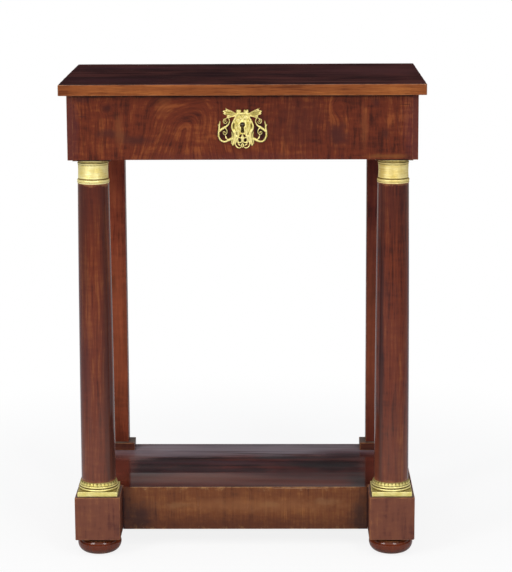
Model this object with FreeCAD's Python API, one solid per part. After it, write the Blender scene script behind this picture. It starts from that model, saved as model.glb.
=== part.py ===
import FreeCAD, Part
import math
import os

# Pier table with a frieze drawer: a slab top on a deep frieze, two tapering columns in gilt
# mounts at the front, two plain pilasters at the back, and a plinth with a shelf on bun feet.
# Frame: X to the right, Y to the back, Z up, in millimetres. The origin is at the middle of
# the footprint, on the floor. Right-hand pieces are drawn and left-hand ones mirror them.

# Stack of heights from the floor
foot_height = 32.0
block_height = 82.5
bay_height = 632.0
frieze_height = 118.0
top_thick = 20.0

# Slab top
top_width = 660.0
top_depth = 396.0
top_overhang = 14.0
top_arris = 1.0

# Frieze carcase
side_thick = 18.0
side_edge = 9.0
rail_thick = 18.0
front_rail_depth = 90.0
rear_rail_depth = 60.0
back_thick = 18.0
runner_width = 20.0
kicker_width = 24.0
kicker_thick = 16.0
corner_block_size = 14.0
top_screw_count = 3
top_screw_r = 2.0
top_screw_head_r = 4.0
top_screw_head_h = 2.4
top_screw_bite = 12.0
top_screw_end = 40.0

# Drawer stops, two strips on the front rail under the drawer bottom
stop_length = 60.0
stop_depth = 20.0
stop_height = 5.0
stop_offset = 150.0

# Drawer
veneer_thick = 1.2
front_core_thick = 18.8
front_gap = 0.7
land_gap = 0.3
run_gap = 0.3
drawer_side_gap = 1.0
kicker_gap = 1.2
drawer_side_thick = 10.0
drawer_back_thick = 10.0
drawer_back_drop = 5.0
drawer_tail_gap = 2.0
drawer_bottom_thick = 6.0
drawer_bottom_lift = 8.0
bottom_groove = 4.0
tail_count = 3
tail_length = 13.0
tail_tip_share = 0.74
tail_root_share = 0.54
bottom_pin_r = 1.0
bottom_pin_head_r = 2.2
bottom_pin_head_h = 0.6
bottom_pin_bite = 14.0
bottom_pin_x = 180.0

# Drawer lock and keyhole
key_above_floor = 31.7
key_eye_r = 4.7
key_slot_drop = 14.0
key_slot_top = 4.4
key_slot_foot = 6.6
case_width = 50.0
case_depth = 10.5
case_wall = 1.2
case_below_key = 20.0
lock_plate_thick = 2.0
lock_side_lip = 8.0
lock_foot_lip = 4.0
selvage_lip = 2.5
bolt_thick = 4.0
bolt_shoulder_width = 7.0
bolt_head_width = 20.0
bolt_top_gap = 5.0
bolt_above_key = 9.0
bolt_notch_r = 4.5
bolt_slip = 0.3
bolt_throw = 7.0
mortise_slip = 0.8
key_pin_r = 1.5
key_pin_nose = 2.0
spring_thick = 0.5
spring_width = 3.0
spring_length = 20.0
lock_screw_r = 1.4
lock_screw_head_r = 2.7
lock_screw_head_h = 1.6
lock_screw_length = 12.0
lock_screw_end = 9.0

# Escutcheon, a pierced gilt plate: places are from the keyhole's centre, X and up
escutcheon_thick = 1.4
body_half_width = 20.0
body_up = 18.0
body_down = 34.0
waist_half_width = 17.0
crown_x = 6.6
crown_z = 22.5
crown_r = 5.4
ring_x = 33.0
ring_z = -19.8
ring_outer_r = 11.8
ring_band = 3.2
volute_x = 31.5
volute_z = 5.6
volute_r = 5.0
wing_tip_x = 35.7
wing_tip_z = 26.5
wing_root_x = 10.0
wing_drop = 14.5
foot_ring_x = 7.6
foot_ring_z = -33.0
foot_ring_r = 5.6
foot_ring_hole_r = 2.6
spray_r = 3.2
escutcheon_pin_r = 0.7
escutcheon_pin_head_r = 1.4
escutcheon_pin_head_h = 0.7
escutcheon_pin_case_gap = 1.5

# Columns
column_bottom_r = 32.0
column_top_r = 28.6
column_swell = 0.7
tenon_r = 11.0
tenon_bottom_length = 30.0
tenon_top_relief = 2.0
foot_spigot_depth = 8.0

# Abacus pad and gilt capital: radii are given beyond or inside the head of the shaft
abacus_margin = 5.4
abacus_thick = 2.5
capital_height = 43.5
capital_wall = 3.6
capital_ring_out = 1.1
capital_ring_height = 7.5
capital_groove_in = 1.2
capital_groove_height = 1.4
capital_drum_in = 0.3
capital_drum_hollow = 0.4
capital_bead_out = 0.3
capital_bead_height = 2.2
capital_lip_out = 0.7
capital_lip_height = 4.6

# Gilt base, turned rings on a square plate: radii are given beyond the foot of the shaft
plate_margin = 5.0
plate_thick = 9.0
plate_arris = 0.8
rings_height = 16.0
torus_out = 4.7
torus_height = 4.6
torus_bulge = 1.6
fillet_out = 2.4
fillet_height = 1.0
bead_out = 3.7
bead_height = 3.4
bead_bulge = 1.2
flare_foot_out = 2.8
flare_mid_out = 1.7
flare_head_out = 1.0

# Corner blocks, plinth and shelf
block_size = 84.5
block_arris = 2.2
plinth_recess = 68.0
plinth_thick = 18.0
shelf_thick = 18.0
rear_block_size = 56.0
glue_block_length = 50.0
glue_block_size = 18.0
glue_block_spacing = 130.0

# Pilasters
pilaster_width = 66.0
pilaster_depth = 34.0
pilaster_base_project = 12.0
pilaster_base_height = 14.5
pilaster_arris = 1.0
pilaster_tenon_width = 30.0
pilaster_tenon_depth = 12.0
pilaster_tenon_inset = 2.0

# Bun feet: below the belly they are a quarter round, and the flat that they stand on runs
# a little past it
foot_belly_r = 40.0
foot_belly_rise = 18.5
foot_floor_land = 0.5
foot_shoulder_r = 33.5
foot_collar_r = 34.5
foot_collar_height = 2.5
foot_dowel_r = 9.0
foot_dowel_length = 24.0

# Levels
z_block = foot_height
z_shelf = z_block + block_height
z_frieze = z_shelf + bay_height
z_top = z_frieze + frieze_height
z_all = z_top + top_thick
z_under_shelf = z_shelf - shelf_thick
z_run = z_frieze + rail_thick
z_kicker = z_top - kicker_thick
z_capital = z_frieze - abacus_thick - capital_height
z_plate = z_shelf + plate_thick
z_shaft = z_plate + rings_height

# Body of the table, inside the overhang of the slab
half_width = top_width / 2 - top_overhang
half_depth = top_depth / 2 - top_overhang
y_front = -half_depth
y_back = half_depth
x_inside = half_width - side_thick
y_core = y_front + veneer_thick
y_front_back = y_core + front_core_thick
y_land = y_front_back + land_gap
y_carcase_back = y_back - back_thick
block_x = half_width - block_size / 2
block_y = y_front + block_size / 2
y_block_back = y_front + block_size
x_block_inner = half_width - block_size
y_plinth_face = y_front + plinth_recess
y_plinth_core = y_plinth_face + veneer_thick

# Drawer levels and widths
drawer_front_half = half_width - side_edge - front_gap
z_drawer_front = z_frieze + front_gap
z_drawer_front_top = z_top - front_gap
x_drawer_out = x_inside - drawer_side_gap
x_drawer_in = x_drawer_out - drawer_side_thick
z_drawer = z_run + run_gap
z_drawer_top = z_kicker - kicker_gap
z_drawer_bottom = z_drawer + drawer_bottom_lift
z_drawer_floor = z_drawer_bottom + drawer_bottom_thick
z_key = z_drawer_floor + key_above_floor
z_drawer_back_top = z_drawer_top - drawer_back_drop
y_drawer_rear = y_carcase_back - corner_block_size - drawer_tail_gap
y_drawer_back = y_drawer_rear - drawer_back_thick

# Lock places
y_plate_face = y_front_back - lock_plate_thick
y_case_front = y_plate_face - case_depth
z_case = z_key - case_below_key
z_lock_bottom = z_case - lock_foot_lip
z_selvage = z_drawer_front_top - lock_plate_thick
lock_half = case_width / 2 + lock_side_lip
y_bolt_back = y_plate_face - bolt_slip
y_bolt_front = y_bolt_back - bolt_thick
z_bolt = z_key + bolt_above_key
z_bolt_shoulder = z_selvage - bolt_throw - bolt_top_gap
bolt_body_width = bolt_head_width + 2 * bolt_shoulder_width

# Radii and sizes of the columns' parts
neck_r = column_top_r - capital_wall
foot_spigot_r = column_bottom_r - foot_spigot_depth
abacus_size = 2 * (column_top_r + abacus_margin)
plate_size = 2 * (column_bottom_r + plate_margin)
pilaster_x = half_width - pilaster_base_project - pilaster_width / 2
foot_floor_r = foot_belly_r - foot_belly_rise + foot_floor_land

nodes = {}


def vec(x, y, z):
    return FreeCAD.Vector(x, y, z)


def box(x0, x1, y0, y1, z0, z1):
    return Part.makeBox(x1 - x0, y1 - y0, z1 - z0, vec(x0, y0, z0))


def centred_box(x, y, width, depth, z0, z1):
    return box(x - width / 2, x + width / 2, y - depth / 2, y + depth / 2, z0, z1)


def upright(x, y, radius, z0, z1):
    return Part.makeCylinder(radius, z1 - z0, vec(x, y, z0))


def along_y(x, z, radius, y0, y1):
    return Part.makeCylinder(radius, y1 - y0, vec(x, y0, z), vec(0, 1, 0))


def fused(shapes):
    shape = shapes[0]
    if len(shapes) > 1:
        shape = shape.multiFuse(shapes[1:])
    return shape.removeSplitter()


def cut_all(shape, cutters):
    return shape.cut(Part.makeCompound(cutters))


def softened(shape, radius):
    return shape.makeFillet(radius, shape.Edges)


def mirror_x(shape):
    return shape.mirror(vec(0, 0, 0), vec(1, 0, 0))


def both_sides(name, shape):
    nodes[name + "_right"] = shape
    nodes[name + "_left"] = mirror_x(shape)


# A flat outline of (x, z) points, extruded from y0 to y1.
def plate_xz(points, y0, y1):
    corners = [vec(x, y0, z) for x, z in points]
    face = Part.Face(Part.makePolygon(corners + corners[:1]))
    return face.extrude(vec(0, y1 - y0, 0))


# Arc through three (r, z) points, or a line where they lie in line.
def profile_edge(start, middle, end):
    bend = (middle[0] - start[0]) * (end[1] - start[1]) - (end[0] - start[0]) * (middle[1] - start[1])
    first = vec(start[0], 0, start[1])
    last = vec(end[0], 0, end[1])
    if abs(bend) < 1e-6:
        return Part.makeLine(first, last)
    return Part.Arc(first, vec(middle[0], 0, middle[1]), last).toShape()


# A turned piece at (x, y): mouldings are (bottom r, middle r, top r, height, middle's share of
# the height), stacked from z0 up around a bore of inner_r, or solid where inner_r is 0.
def turned(x, y, z0, inner_r, mouldings):
    edges = []
    z = z0
    last = (inner_r, z0)
    for bottom_r, middle_r, top_r, height, share in mouldings:
        start = (bottom_r, z)
        end = (top_r, z + height)
        if abs(last[0] - start[0]) > 1e-6:
            edges.append(Part.makeLine(vec(last[0], 0, z), vec(start[0], 0, z)))
        edges.append(profile_edge(start, (middle_r, z + height * share), end))
        last = end
        z += height
    edges.append(Part.makeLine(vec(last[0], 0, z), vec(inner_r, 0, z)))
    edges.append(Part.makeLine(vec(inner_r, 0, z), vec(inner_r, 0, z0)))
    face = Part.Face(Part.Wire(Part.__sortEdges__(edges)))
    solid = face.revolve(vec(0, 0, 0), vec(0, 0, 1), 360)
    solid.translate(vec(x, y, 0))
    return solid


# A wood screw with its head's flat at start, pointing along direction.
def screw(start, direction, shank_r, head_r, head_h, length):
    head = Part.makeCone(head_r, shank_r, head_h, start, direction)
    shank = Part.makeCylinder(shank_r, length, start, direction)
    return head.fuse(shank).removeSplitter()


# Keyhole: a round eye with a slot that widens downwards, as a cutter from y0 to y1.
def keyhole(y0, y1):
    slot = [(-key_slot_top / 2, z_key), (key_slot_top / 2, z_key),
            (key_slot_foot / 2, z_key - key_slot_drop), (-key_slot_foot / 2, z_key - key_slot_drop)]
    return fused([along_y(0, z_key, key_eye_r, y0, y1), plate_xz(slot, y0, y1)])


def bolt_shape(grow, z0, z1, width):
    return box(-width / 2 - grow, width / 2 + grow, y_bolt_front - grow, y_bolt_back + grow, z0, z1)


def top_screws():
    first = y_land + top_screw_end
    last = y_carcase_back - top_screw_end
    screws = []
    for index in range(top_screw_count):
        y = first + (last - first) * index / (top_screw_count - 1)
        for x in (x_inside - kicker_width / 2, kicker_width / 2 - x_inside):
            screws.append(screw(vec(x, y, z_kicker), vec(0, 0, 1), top_screw_r, top_screw_head_r,
                                top_screw_head_h, kicker_thick + top_screw_bite))
    return screws


def make_top(screws):
    slab = softened(box(-top_width / 2, top_width / 2, -top_depth / 2, top_depth / 2, z_top, z_all),
                    top_arris)
    mortise = bolt_shape(mortise_slip, z_top, z_top + bolt_throw + mortise_slip, bolt_head_width)
    nodes["top_board"] = cut_all(slab, screws + [mortise])
    nodes["top_screws"] = Part.makeCompound(screws)


# The sides are rebated at the front: a thin edge stays beside the drawer front, whose back
# lands on the shoulder.
def make_carcase(screws):
    side = box(x_inside, half_width, y_front, y_back, z_frieze, z_top)
    rebate = box(x_inside, half_width - side_edge, y_front, y_land, z_frieze, z_top)
    both_sides("frieze_side", side.cut(rebate))
    nodes["frieze_back"] = box(-x_inside, x_inside, y_carcase_back, y_back, z_frieze, z_top)

    y_rail_back = y_land + front_rail_depth
    y_rear_rail = y_carcase_back - rear_rail_depth
    tenons = [upright(x, block_y, tenon_r, z_frieze, z_run - tenon_top_relief)
              for x in (block_x, -block_x)]
    rail = box(-x_inside, x_inside, y_land, y_rail_back, z_frieze, z_run)
    nodes["front_rail"] = cut_all(rail, tenons)
    rear = box(-x_inside, x_inside, y_rear_rail, y_carcase_back, z_frieze, z_run)
    rear_tenons = [pilaster_tenon(z_frieze, z_run - tenon_top_relief)]
    rear_tenons.append(mirror_x(rear_tenons[0]))
    nodes["rear_rail"] = cut_all(rear, rear_tenons)

    both_sides("drawer_runner", box(x_inside - runner_width, x_inside, y_rail_back, y_rear_rail,
                                    z_frieze, z_run))
    kicker = box(x_inside - kicker_width, x_inside, y_land, y_carcase_back, z_kicker, z_top)
    nodes["kicker_right"] = cut_all(kicker, screws)
    nodes["kicker_left"] = cut_all(mirror_x(kicker), screws)

    corner = box(x_inside - corner_block_size, x_inside, y_carcase_back - corner_block_size,
                 y_carcase_back, z_run, z_kicker)
    nodes["frieze_corner_blocks"] = Part.makeCompound([corner, mirror_x(corner)])
    stop = centred_box(stop_offset, y_land + stop_depth / 2, stop_length, stop_depth, z_run,
                       z_run + stop_height)
    nodes["drawer_stops"] = Part.makeCompound([stop, mirror_x(stop)])


# Dovetails of a right-hand drawer side, in the board's own thickness: they widen from y_root
# to y_tip, and share the height evenly.
def dovetails(y_root, y_tip, z0, z1):
    pitch = (z1 - z0) / tail_count
    tails = []
    for index in range(tail_count):
        z = z0 + pitch * (index + 0.5)
        root = pitch * tail_root_share / 2
        tip = pitch * tail_tip_share / 2
        corners = [vec(x_drawer_in, y_root, z - root), vec(x_drawer_in, y_tip, z - tip),
                   vec(x_drawer_in, y_tip, z + tip), vec(x_drawer_in, y_root, z + root)]
        face = Part.Face(Part.makePolygon(corners + corners[:1]))
        tails.append(face.extrude(vec(drawer_side_thick, 0, 0)))
    return tails


def make_drawer_box(front_core):
    bottom = box(-x_drawer_in - bottom_groove, x_drawer_in + bottom_groove,
                 y_front_back - bottom_groove, y_drawer_rear, z_drawer_bottom, z_drawer_floor)
    front_tails = dovetails(y_front_back, y_front_back - tail_length, z_drawer, z_drawer_top)
    back_tails = dovetails(y_drawer_back, y_drawer_rear, z_drawer_floor, z_drawer_back_top)
    back = box(-x_drawer_out, x_drawer_out, y_drawer_back, y_drawer_rear, z_drawer_floor,
               z_drawer_back_top)
    back = cut_all(back, back_tails + [mirror_x(tail) for tail in back_tails])
    board = box(x_drawer_in, x_drawer_out, y_front_back, y_drawer_rear, z_drawer, z_drawer_top)
    side = fused([board] + front_tails).cut(back).cut(bottom)
    both_sides("drawer_side", side)

    pins = []
    for x in (-bottom_pin_x, 0, bottom_pin_x):
        y = (y_drawer_back + y_drawer_rear) / 2
        pins.append(screw(vec(x, y, z_drawer_bottom), vec(0, 0, 1), bottom_pin_r,
                          bottom_pin_head_r, bottom_pin_head_h,
                          drawer_bottom_thick + bottom_pin_bite))
    nodes["drawer_back"] = cut_all(back, pins)
    nodes["drawer_bottom"] = cut_all(bottom, pins)
    nodes["drawer_bottom_pins"] = Part.makeCompound(pins)
    return cut_all(front_core, front_tails + [mirror_x(tail) for tail in front_tails] + [bottom])


# Drawer lock: an L-shaped plate let into the back and top of the drawer front, a tray-shaped
# case in a pocket behind it, a bolt that rises through the selvage, and a pin for a pipe key.
def make_lock(front_core):
    plate = box(-lock_half, lock_half, y_plate_face, y_front_back, z_lock_bottom,
                z_drawer_front_top)
    selvage = box(-lock_half, lock_half, y_case_front - selvage_lip, y_plate_face, z_selvage,
                  z_drawer_front_top)
    blank = fused([plate, selvage])
    pocket = box(-case_width / 2, case_width / 2, y_case_front, y_plate_face, z_case, z_selvage)
    hollow = box(case_wall - case_width / 2, case_width / 2 - case_wall, y_case_front + case_wall,
                 y_plate_face, z_case + case_wall, z_selvage)
    pin = along_y(0, z_key, key_pin_r, y_case_front - key_pin_nose, y_front_back)
    screws = []
    for x in (lock_side_lip / 2 - lock_half, lock_half - lock_side_lip / 2):
        for z in (z_lock_bottom + lock_screw_end, z_selvage - lock_screw_end):
            screws.append(screw(vec(x, y_front_back, z), vec(0, -1, 0), lock_screw_r,
                                lock_screw_head_r, lock_screw_head_h, lock_screw_length))
    slot = bolt_shape(bolt_slip, z_selvage, z_drawer_front_top, bolt_head_width)
    nodes["lock_plate"] = cut_all(blank, screws + [pin, slot])
    nodes["lock_case"] = cut_all(pocket, [hollow, keyhole(y_core, y_plate_face)])
    nodes["lock_key_pin"] = pin
    nodes["lock_screws"] = Part.makeCompound(screws)

    body = bolt_shape(0, z_bolt, z_bolt_shoulder, bolt_body_width)
    head = bolt_shape(0, z_bolt_shoulder, z_drawer_front_top, bolt_head_width)
    notch = along_y(0, z_bolt, bolt_notch_r, y_bolt_front, y_bolt_back)
    nodes["lock_bolt"] = fused([body, head]).cut(notch)

    # The leaf spring leans from the case's wall to the bolt's edge.
    x_wall = case_width / 2 - case_wall
    x_bolt = bolt_body_width / 2 + bolt_slip
    z_spring = z_bolt + spring_length / 2
    y_spring = (y_bolt_front + y_bolt_back) / 2 - spring_width / 2
    leaf = [(x_wall - spring_thick, z_spring + spring_length / 2), (x_wall, z_spring + spring_length / 2),
            (x_bolt + spring_thick, z_spring - spring_length / 2), (x_bolt, z_spring - spring_length / 2)]
    nodes["lock_spring"] = plate_xz(leaf, y_spring, y_spring + spring_width)
    return cut_all(front_core, [blank, pocket, keyhole(y_core, y_plate_face)] + screws)


# Right half of the escutcheon as flat outlines, in millimetres from the keyhole's centre.
def escutcheon_half(y0, y1):
    def disc(x, z, radius):
        return along_y(x, z_key + z, radius, y0, y1)

    def outline(points):
        return plate_xz([(x, z_key + z) for x, z in points], y0, y1)

    middle = ring_z / 2
    body = outline([(0, body_up), (wing_root_x, body_up), (body_half_width, 0),
                    (waist_half_width, middle), (waist_half_width, ring_z),
                    (body_half_width, -body_down), (0, -body_down)])
    wing = outline([(wing_root_x, body_up), (wing_tip_x - spray_r, wing_tip_z),
                    (wing_tip_x, body_up), (volute_x - spray_r, wing_drop),
                    (body_half_width - spray_r, wing_drop), (wing_root_x, body_up - volute_r)])
    stem = outline([(volute_x - volute_r, volute_z), (volute_x, volute_z - volute_r),
                    (ring_x + ring_outer_r - spray_r, ring_z + spray_r),
                    (ring_x + ring_outer_r, ring_z), (ring_x + volute_r, volute_z - volute_r),
                    (volute_x + volute_r, volute_z)])
    bridge = outline([(waist_half_width - spray_r, ring_z + spray_r),
                      (ring_x - ring_outer_r + ring_band / 2, ring_z + spray_r),
                      (ring_x - ring_outer_r + ring_band / 2, ring_z - spray_r),
                      (waist_half_width - spray_r, ring_z - spray_r)])
    arm = outline([(body_half_width - spray_r, wing_drop), (volute_x - spray_r, wing_drop),
                   (volute_x - spray_r, volute_z), (body_half_width - spray_r, volute_z)])
    ring = disc(ring_x, ring_z, ring_outer_r)
    solid = [body, wing, arm, stem, bridge, ring, disc(volute_x, volute_z, volute_r),
             disc(crown_x, crown_z, crown_r), disc(foot_ring_x, foot_ring_z, foot_ring_r),
             disc(body_half_width - spray_r, -body_down, spray_r)]
    holes = [disc(ring_x, ring_z, ring_outer_r - ring_band),
             disc(foot_ring_x, foot_ring_z, foot_ring_hole_r)]
    return solid, holes


def make_escutcheon(front_core, veneer):
    y_face = y_front - escutcheon_thick
    solid, holes = escutcheon_half(y_face, y_front)
    solid += [mirror_x(piece) for piece in solid]
    holes += [mirror_x(piece) for piece in holes]
    pins = []
    for x, z in ((wing_root_x, body_up - volute_r), (body_half_width - spray_r, -body_down),
                 (ring_x + ring_outer_r - ring_band / 2, ring_z)):
        for side in (-1, 1):
            head = along_y(side * x, z_key + z, escutcheon_pin_head_r,
                           y_face - escutcheon_pin_head_h, y_face)
            shank = along_y(side * x, z_key + z, escutcheon_pin_r, y_face,
                            y_case_front - escutcheon_pin_case_gap)
            pins.append(fused([head, shank]))
    plate = fused(solid)
    nodes["escutcheon"] = cut_all(plate, holes + pins + [keyhole(y_face, y_front)])
    nodes["escutcheon_pins"] = Part.makeCompound(pins)
    nodes["drawer_front_veneer"] = cut_all(veneer, pins + [keyhole(y_front, y_core)])
    return cut_all(front_core, pins)


def make_drawer():
    veneer = box(-drawer_front_half, drawer_front_half, y_front, y_core, z_drawer_front,
                 z_drawer_front_top)
    core = box(-drawer_front_half, drawer_front_half, y_core, y_front_back, z_drawer_front,
               z_drawer_front_top)
    core = make_drawer_box(core)
    core = make_lock(core)
    nodes["drawer_front"] = make_escutcheon(core, veneer)


# Capital, base rings and shaft share the column's axis. The shaft swells slightly between
# its two mounts and has a neck, a foot spigot and a tenon at each end.
def make_columns():
    drum_height = (capital_height - capital_ring_height - 2 * capital_groove_height
                   - capital_bead_height - capital_lip_height)
    groove_r = column_top_r - capital_groove_in
    drum_r = column_top_r - capital_drum_in
    lip_r = column_top_r + capital_lip_out
    capital = [
        (column_top_r, column_top_r + capital_ring_out, column_top_r, capital_ring_height, 0.5),
        (groove_r, groove_r, groove_r, capital_groove_height, 0.5),
        (drum_r, drum_r - capital_drum_hollow, drum_r, drum_height, 0.5),
        (drum_r, column_top_r + capital_bead_out, drum_r, capital_bead_height, 0.5),
        (groove_r, groove_r, groove_r, capital_groove_height, 0.5),
        (drum_r, (drum_r + lip_r) / 2, lip_r, capital_lip_height, 0.5),
    ]
    both_sides("capital", turned(block_x, block_y, z_capital, neck_r, capital))

    flare_height = rings_height - torus_height - fillet_height - bead_height
    torus_r = column_bottom_r + torus_out
    fillet_r = column_bottom_r + fillet_out
    bead_r = column_bottom_r + bead_out
    rings = [
        (torus_r - torus_bulge, torus_r, torus_r - torus_bulge, torus_height, 0.5),
        (fillet_r, fillet_r, fillet_r, fillet_height, 0.5),
        (bead_r - bead_bulge, bead_r, bead_r - bead_bulge, bead_height, 0.5),
        (column_bottom_r + flare_foot_out, column_bottom_r + flare_mid_out,
         column_bottom_r + flare_head_out, flare_height, 0.5),
    ]
    both_sides("column_base_rings", turned(block_x, block_y, z_plate, foot_spigot_r, rings))
    plate = softened(centred_box(block_x, block_y, plate_size, plate_size, z_shelf, z_plate),
                     plate_arris)
    both_sides("column_base_plate", plate.cut(upright(block_x, block_y, foot_spigot_r, z_shelf,
                                                      z_plate)))
    pad = centred_box(block_x, block_y, abacus_size, abacus_size, z_frieze - abacus_thick, z_frieze)
    both_sides("abacus", pad.cut(upright(block_x, block_y, tenon_r, z_frieze - abacus_thick,
                                         z_frieze)))

    middle_r = (column_bottom_r + column_top_r) / 2 + column_swell
    shaft = [
        (tenon_r, tenon_r, tenon_r, tenon_bottom_length, 0.5),
        (foot_spigot_r, foot_spigot_r, foot_spigot_r, plate_thick + rings_height, 0.5),
        (column_bottom_r, middle_r, column_top_r, z_capital - z_shaft, 0.5),
        (neck_r, neck_r, neck_r, capital_height, 0.5),
        (tenon_r, tenon_r, tenon_r, abacus_thick + rail_thick - tenon_top_relief, 0.5),
    ]
    both_sides("column", turned(block_x, block_y, z_shelf - tenon_bottom_length, 0, shaft))


# Middle of the arc that leaves the belly upright and ends at end_r after height: its radius
# is (drop^2 + height^2) / (2 drop). Returns the middle's radius and its share of the height.
def belly_middle(end_r, height):
    drop = foot_belly_r - end_r
    radius = (drop ** 2 + height ** 2) / (2 * drop)
    half_angle = math.atan2(height, radius - drop) / 2
    return foot_belly_r - radius * (1 - math.cos(half_angle)), radius * math.sin(half_angle) / height


def make_foot(x, y):
    shoulder_height = foot_height - foot_collar_height - foot_belly_rise
    low_r, low_share = belly_middle(foot_floor_r, foot_belly_rise)
    high_r, high_share = belly_middle(foot_shoulder_r, shoulder_height)
    bun = [
        (foot_floor_r, low_r, foot_belly_r, foot_belly_rise, 1 - low_share),
        (foot_belly_r, high_r, foot_shoulder_r, shoulder_height, high_share),
        (foot_collar_r, foot_collar_r, foot_collar_r, foot_collar_height, 0.5),
        (foot_dowel_r, foot_dowel_r, foot_dowel_r, foot_dowel_length, 0.5),
    ]
    return turned(x, y, 0, 0, bun)


# The plinth: corner blocks under the columns, a front board set back between them and faced
# with upright veneer, side and back boards, inner blocks for the rear feet, and the shelf.
def make_plinth():
    dowel = upright(block_x, block_y, foot_dowel_r, z_block, z_block + foot_dowel_length)
    rear_dowel = upright(block_x, -block_y, foot_dowel_r, z_block, z_block + foot_dowel_length)
    tenon = upright(block_x, block_y, tenon_r, z_shelf - tenon_bottom_length, z_shelf)
    solid_block = box(x_block_inner, half_width, y_front, y_block_back, z_block, z_shelf)
    block = softened(solid_block, block_arris)
    both_sides("base_block", block.cut(dowel).cut(tenon))

    front = box(-x_block_inner, x_block_inner, y_plinth_core, y_plinth_core + plinth_thick,
                z_block, z_under_shelf)
    nodes["plinth_front_board"] = front
    nodes["plinth_front_veneer"] = box(-x_block_inner, x_block_inner, y_plinth_face,
                                       y_plinth_core, z_block, z_shelf)
    both_sides("plinth_side", box(half_width - plinth_thick, half_width, y_block_back, y_back,
                                  z_block, z_under_shelf))
    x_plinth = half_width - plinth_thick
    nodes["plinth_back"] = box(-x_plinth, x_plinth, y_back - plinth_thick, y_back, z_block,
                               z_under_shelf)
    rear_block = box(x_plinth - rear_block_size, x_plinth, y_back - plinth_thick - rear_block_size,
                     y_back - plinth_thick, z_block, z_under_shelf)
    both_sides("rear_corner_block", rear_block.cut(rear_dowel))

    y_glue = y_plinth_core + plinth_thick
    glue_blocks = [box(x - glue_block_length / 2, x + glue_block_length / 2, y_glue,
                       y_glue + glue_block_size, z_under_shelf - glue_block_size, z_under_shelf)
                   for x in (-glue_block_spacing, 0, glue_block_spacing)]
    nodes["plinth_glue_blocks"] = Part.makeCompound(glue_blocks)

    shelf = box(-half_width, half_width, y_plinth_core, y_back, z_under_shelf, z_shelf)
    shelf_tenon = pilaster_tenon(z_under_shelf, z_shelf)
    nodes["shelf_board"] = cut_all(shelf, [solid_block, mirror_x(solid_block), shelf_tenon,
                                           mirror_x(shelf_tenon)])
    for end, y in (("front", block_y), ("rear", -block_y)):
        both_sides("foot_" + end, make_foot(block_x, y))


def pilaster_tenon(z0, z1):
    y1 = y_carcase_back - pilaster_tenon_inset
    return box(pilaster_x - pilaster_tenon_width / 2, pilaster_x + pilaster_tenon_width / 2,
               y1 - pilaster_tenon_depth, y1, z0, z1)


# Each pilaster runs down through its low base block and the shelf on one tenon.
def make_pilasters():
    z_base = z_shelf + pilaster_base_height
    shaft = box(pilaster_x - pilaster_width / 2, pilaster_x + pilaster_width / 2,
                y_back - pilaster_depth, y_back, z_base, z_frieze)
    arrises = [edge for edge in shaft.Edges if edge.BoundBox.ZLength > pilaster_base_height]
    shaft = shaft.makeFillet(pilaster_arris, arrises)
    top_tenon = pilaster_tenon(z_frieze, z_run - tenon_top_relief)
    low_tenon = pilaster_tenon(z_under_shelf, z_base)
    both_sides("pilaster", fused([shaft, top_tenon, low_tenon]))
    base = box(pilaster_x - pilaster_width / 2 - pilaster_base_project, half_width,
               y_back - pilaster_depth - pilaster_base_project, y_back, z_shelf, z_base)
    both_sides("pilaster_base", base.cut(low_tenon))


def export_nodes():
    for name in sorted(nodes):
        nodes[name].exportStep("parts/" + name + ".step")
    print(len(nodes), "nodes")


os.makedirs("parts", exist_ok=True)
table_screws = top_screws()
make_top(table_screws)
make_carcase(table_screws)
make_drawer()
make_columns()
make_plinth()
make_pilasters()
export_nodes()
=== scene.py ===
import math

import bmesh
import bpy
import numpy as np
from mathutils import Matrix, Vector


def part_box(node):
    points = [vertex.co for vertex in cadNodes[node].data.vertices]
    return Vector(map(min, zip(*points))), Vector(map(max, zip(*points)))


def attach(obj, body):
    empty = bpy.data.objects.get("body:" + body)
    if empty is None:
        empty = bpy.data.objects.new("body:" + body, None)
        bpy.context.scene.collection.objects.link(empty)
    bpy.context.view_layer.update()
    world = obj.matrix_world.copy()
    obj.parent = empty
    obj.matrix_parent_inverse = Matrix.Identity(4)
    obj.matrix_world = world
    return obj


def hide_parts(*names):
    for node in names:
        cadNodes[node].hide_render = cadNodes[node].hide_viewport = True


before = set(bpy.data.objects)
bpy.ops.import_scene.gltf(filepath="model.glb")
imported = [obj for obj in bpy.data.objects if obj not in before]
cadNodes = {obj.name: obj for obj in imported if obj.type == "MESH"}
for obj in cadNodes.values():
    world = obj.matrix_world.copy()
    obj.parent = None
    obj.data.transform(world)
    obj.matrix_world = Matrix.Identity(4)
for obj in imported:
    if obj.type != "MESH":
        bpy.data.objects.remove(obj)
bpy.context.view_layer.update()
print("frame loaded:", len(cadNodes), "nodes")

mm = 0.001
fullTurn = 2 * np.pi
bodyTable = "table"
bodyDrawer = "drawer"


def gridFaces(rows, columns, closeRows=False, closeColumns=False):
    # Each face joins two neighbours of one row to the same two of the next; a closed
    # direction joins its last line to its first.
    firstRow = np.arange(rows if closeRows else rows - 1)
    firstColumn = np.arange(columns if closeColumns else columns - 1)
    row, column = np.meshgrid(firstRow, firstColumn, indexing="ij")
    nextRow, nextColumn = (row + 1) % rows, (column + 1) % columns
    corners = [row * columns + column, row * columns + nextColumn,
               nextRow * columns + nextColumn, nextRow * columns + column]
    return np.stack(corners, axis=-1).reshape(-1, 4)


def makeShape(points, faces, edge=0.0, hollow=0.0):
    # Points, faces and two masks for the finish: rubbed edges and hollows that hold dirt. On the
    # mount's rods the edge mask is also a painted highlight on the crest and the hollow mask painted shade on
    # the flanks.
    points = np.asarray(points, float)
    edge, hollow = (np.broadcast_to(mask, points.shape[:-1]).ravel() for mask in (edge, hollow))
    return {"points": points.reshape(-1, 3), "faces": faces, "edge": edge, "hollow": hollow}


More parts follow.
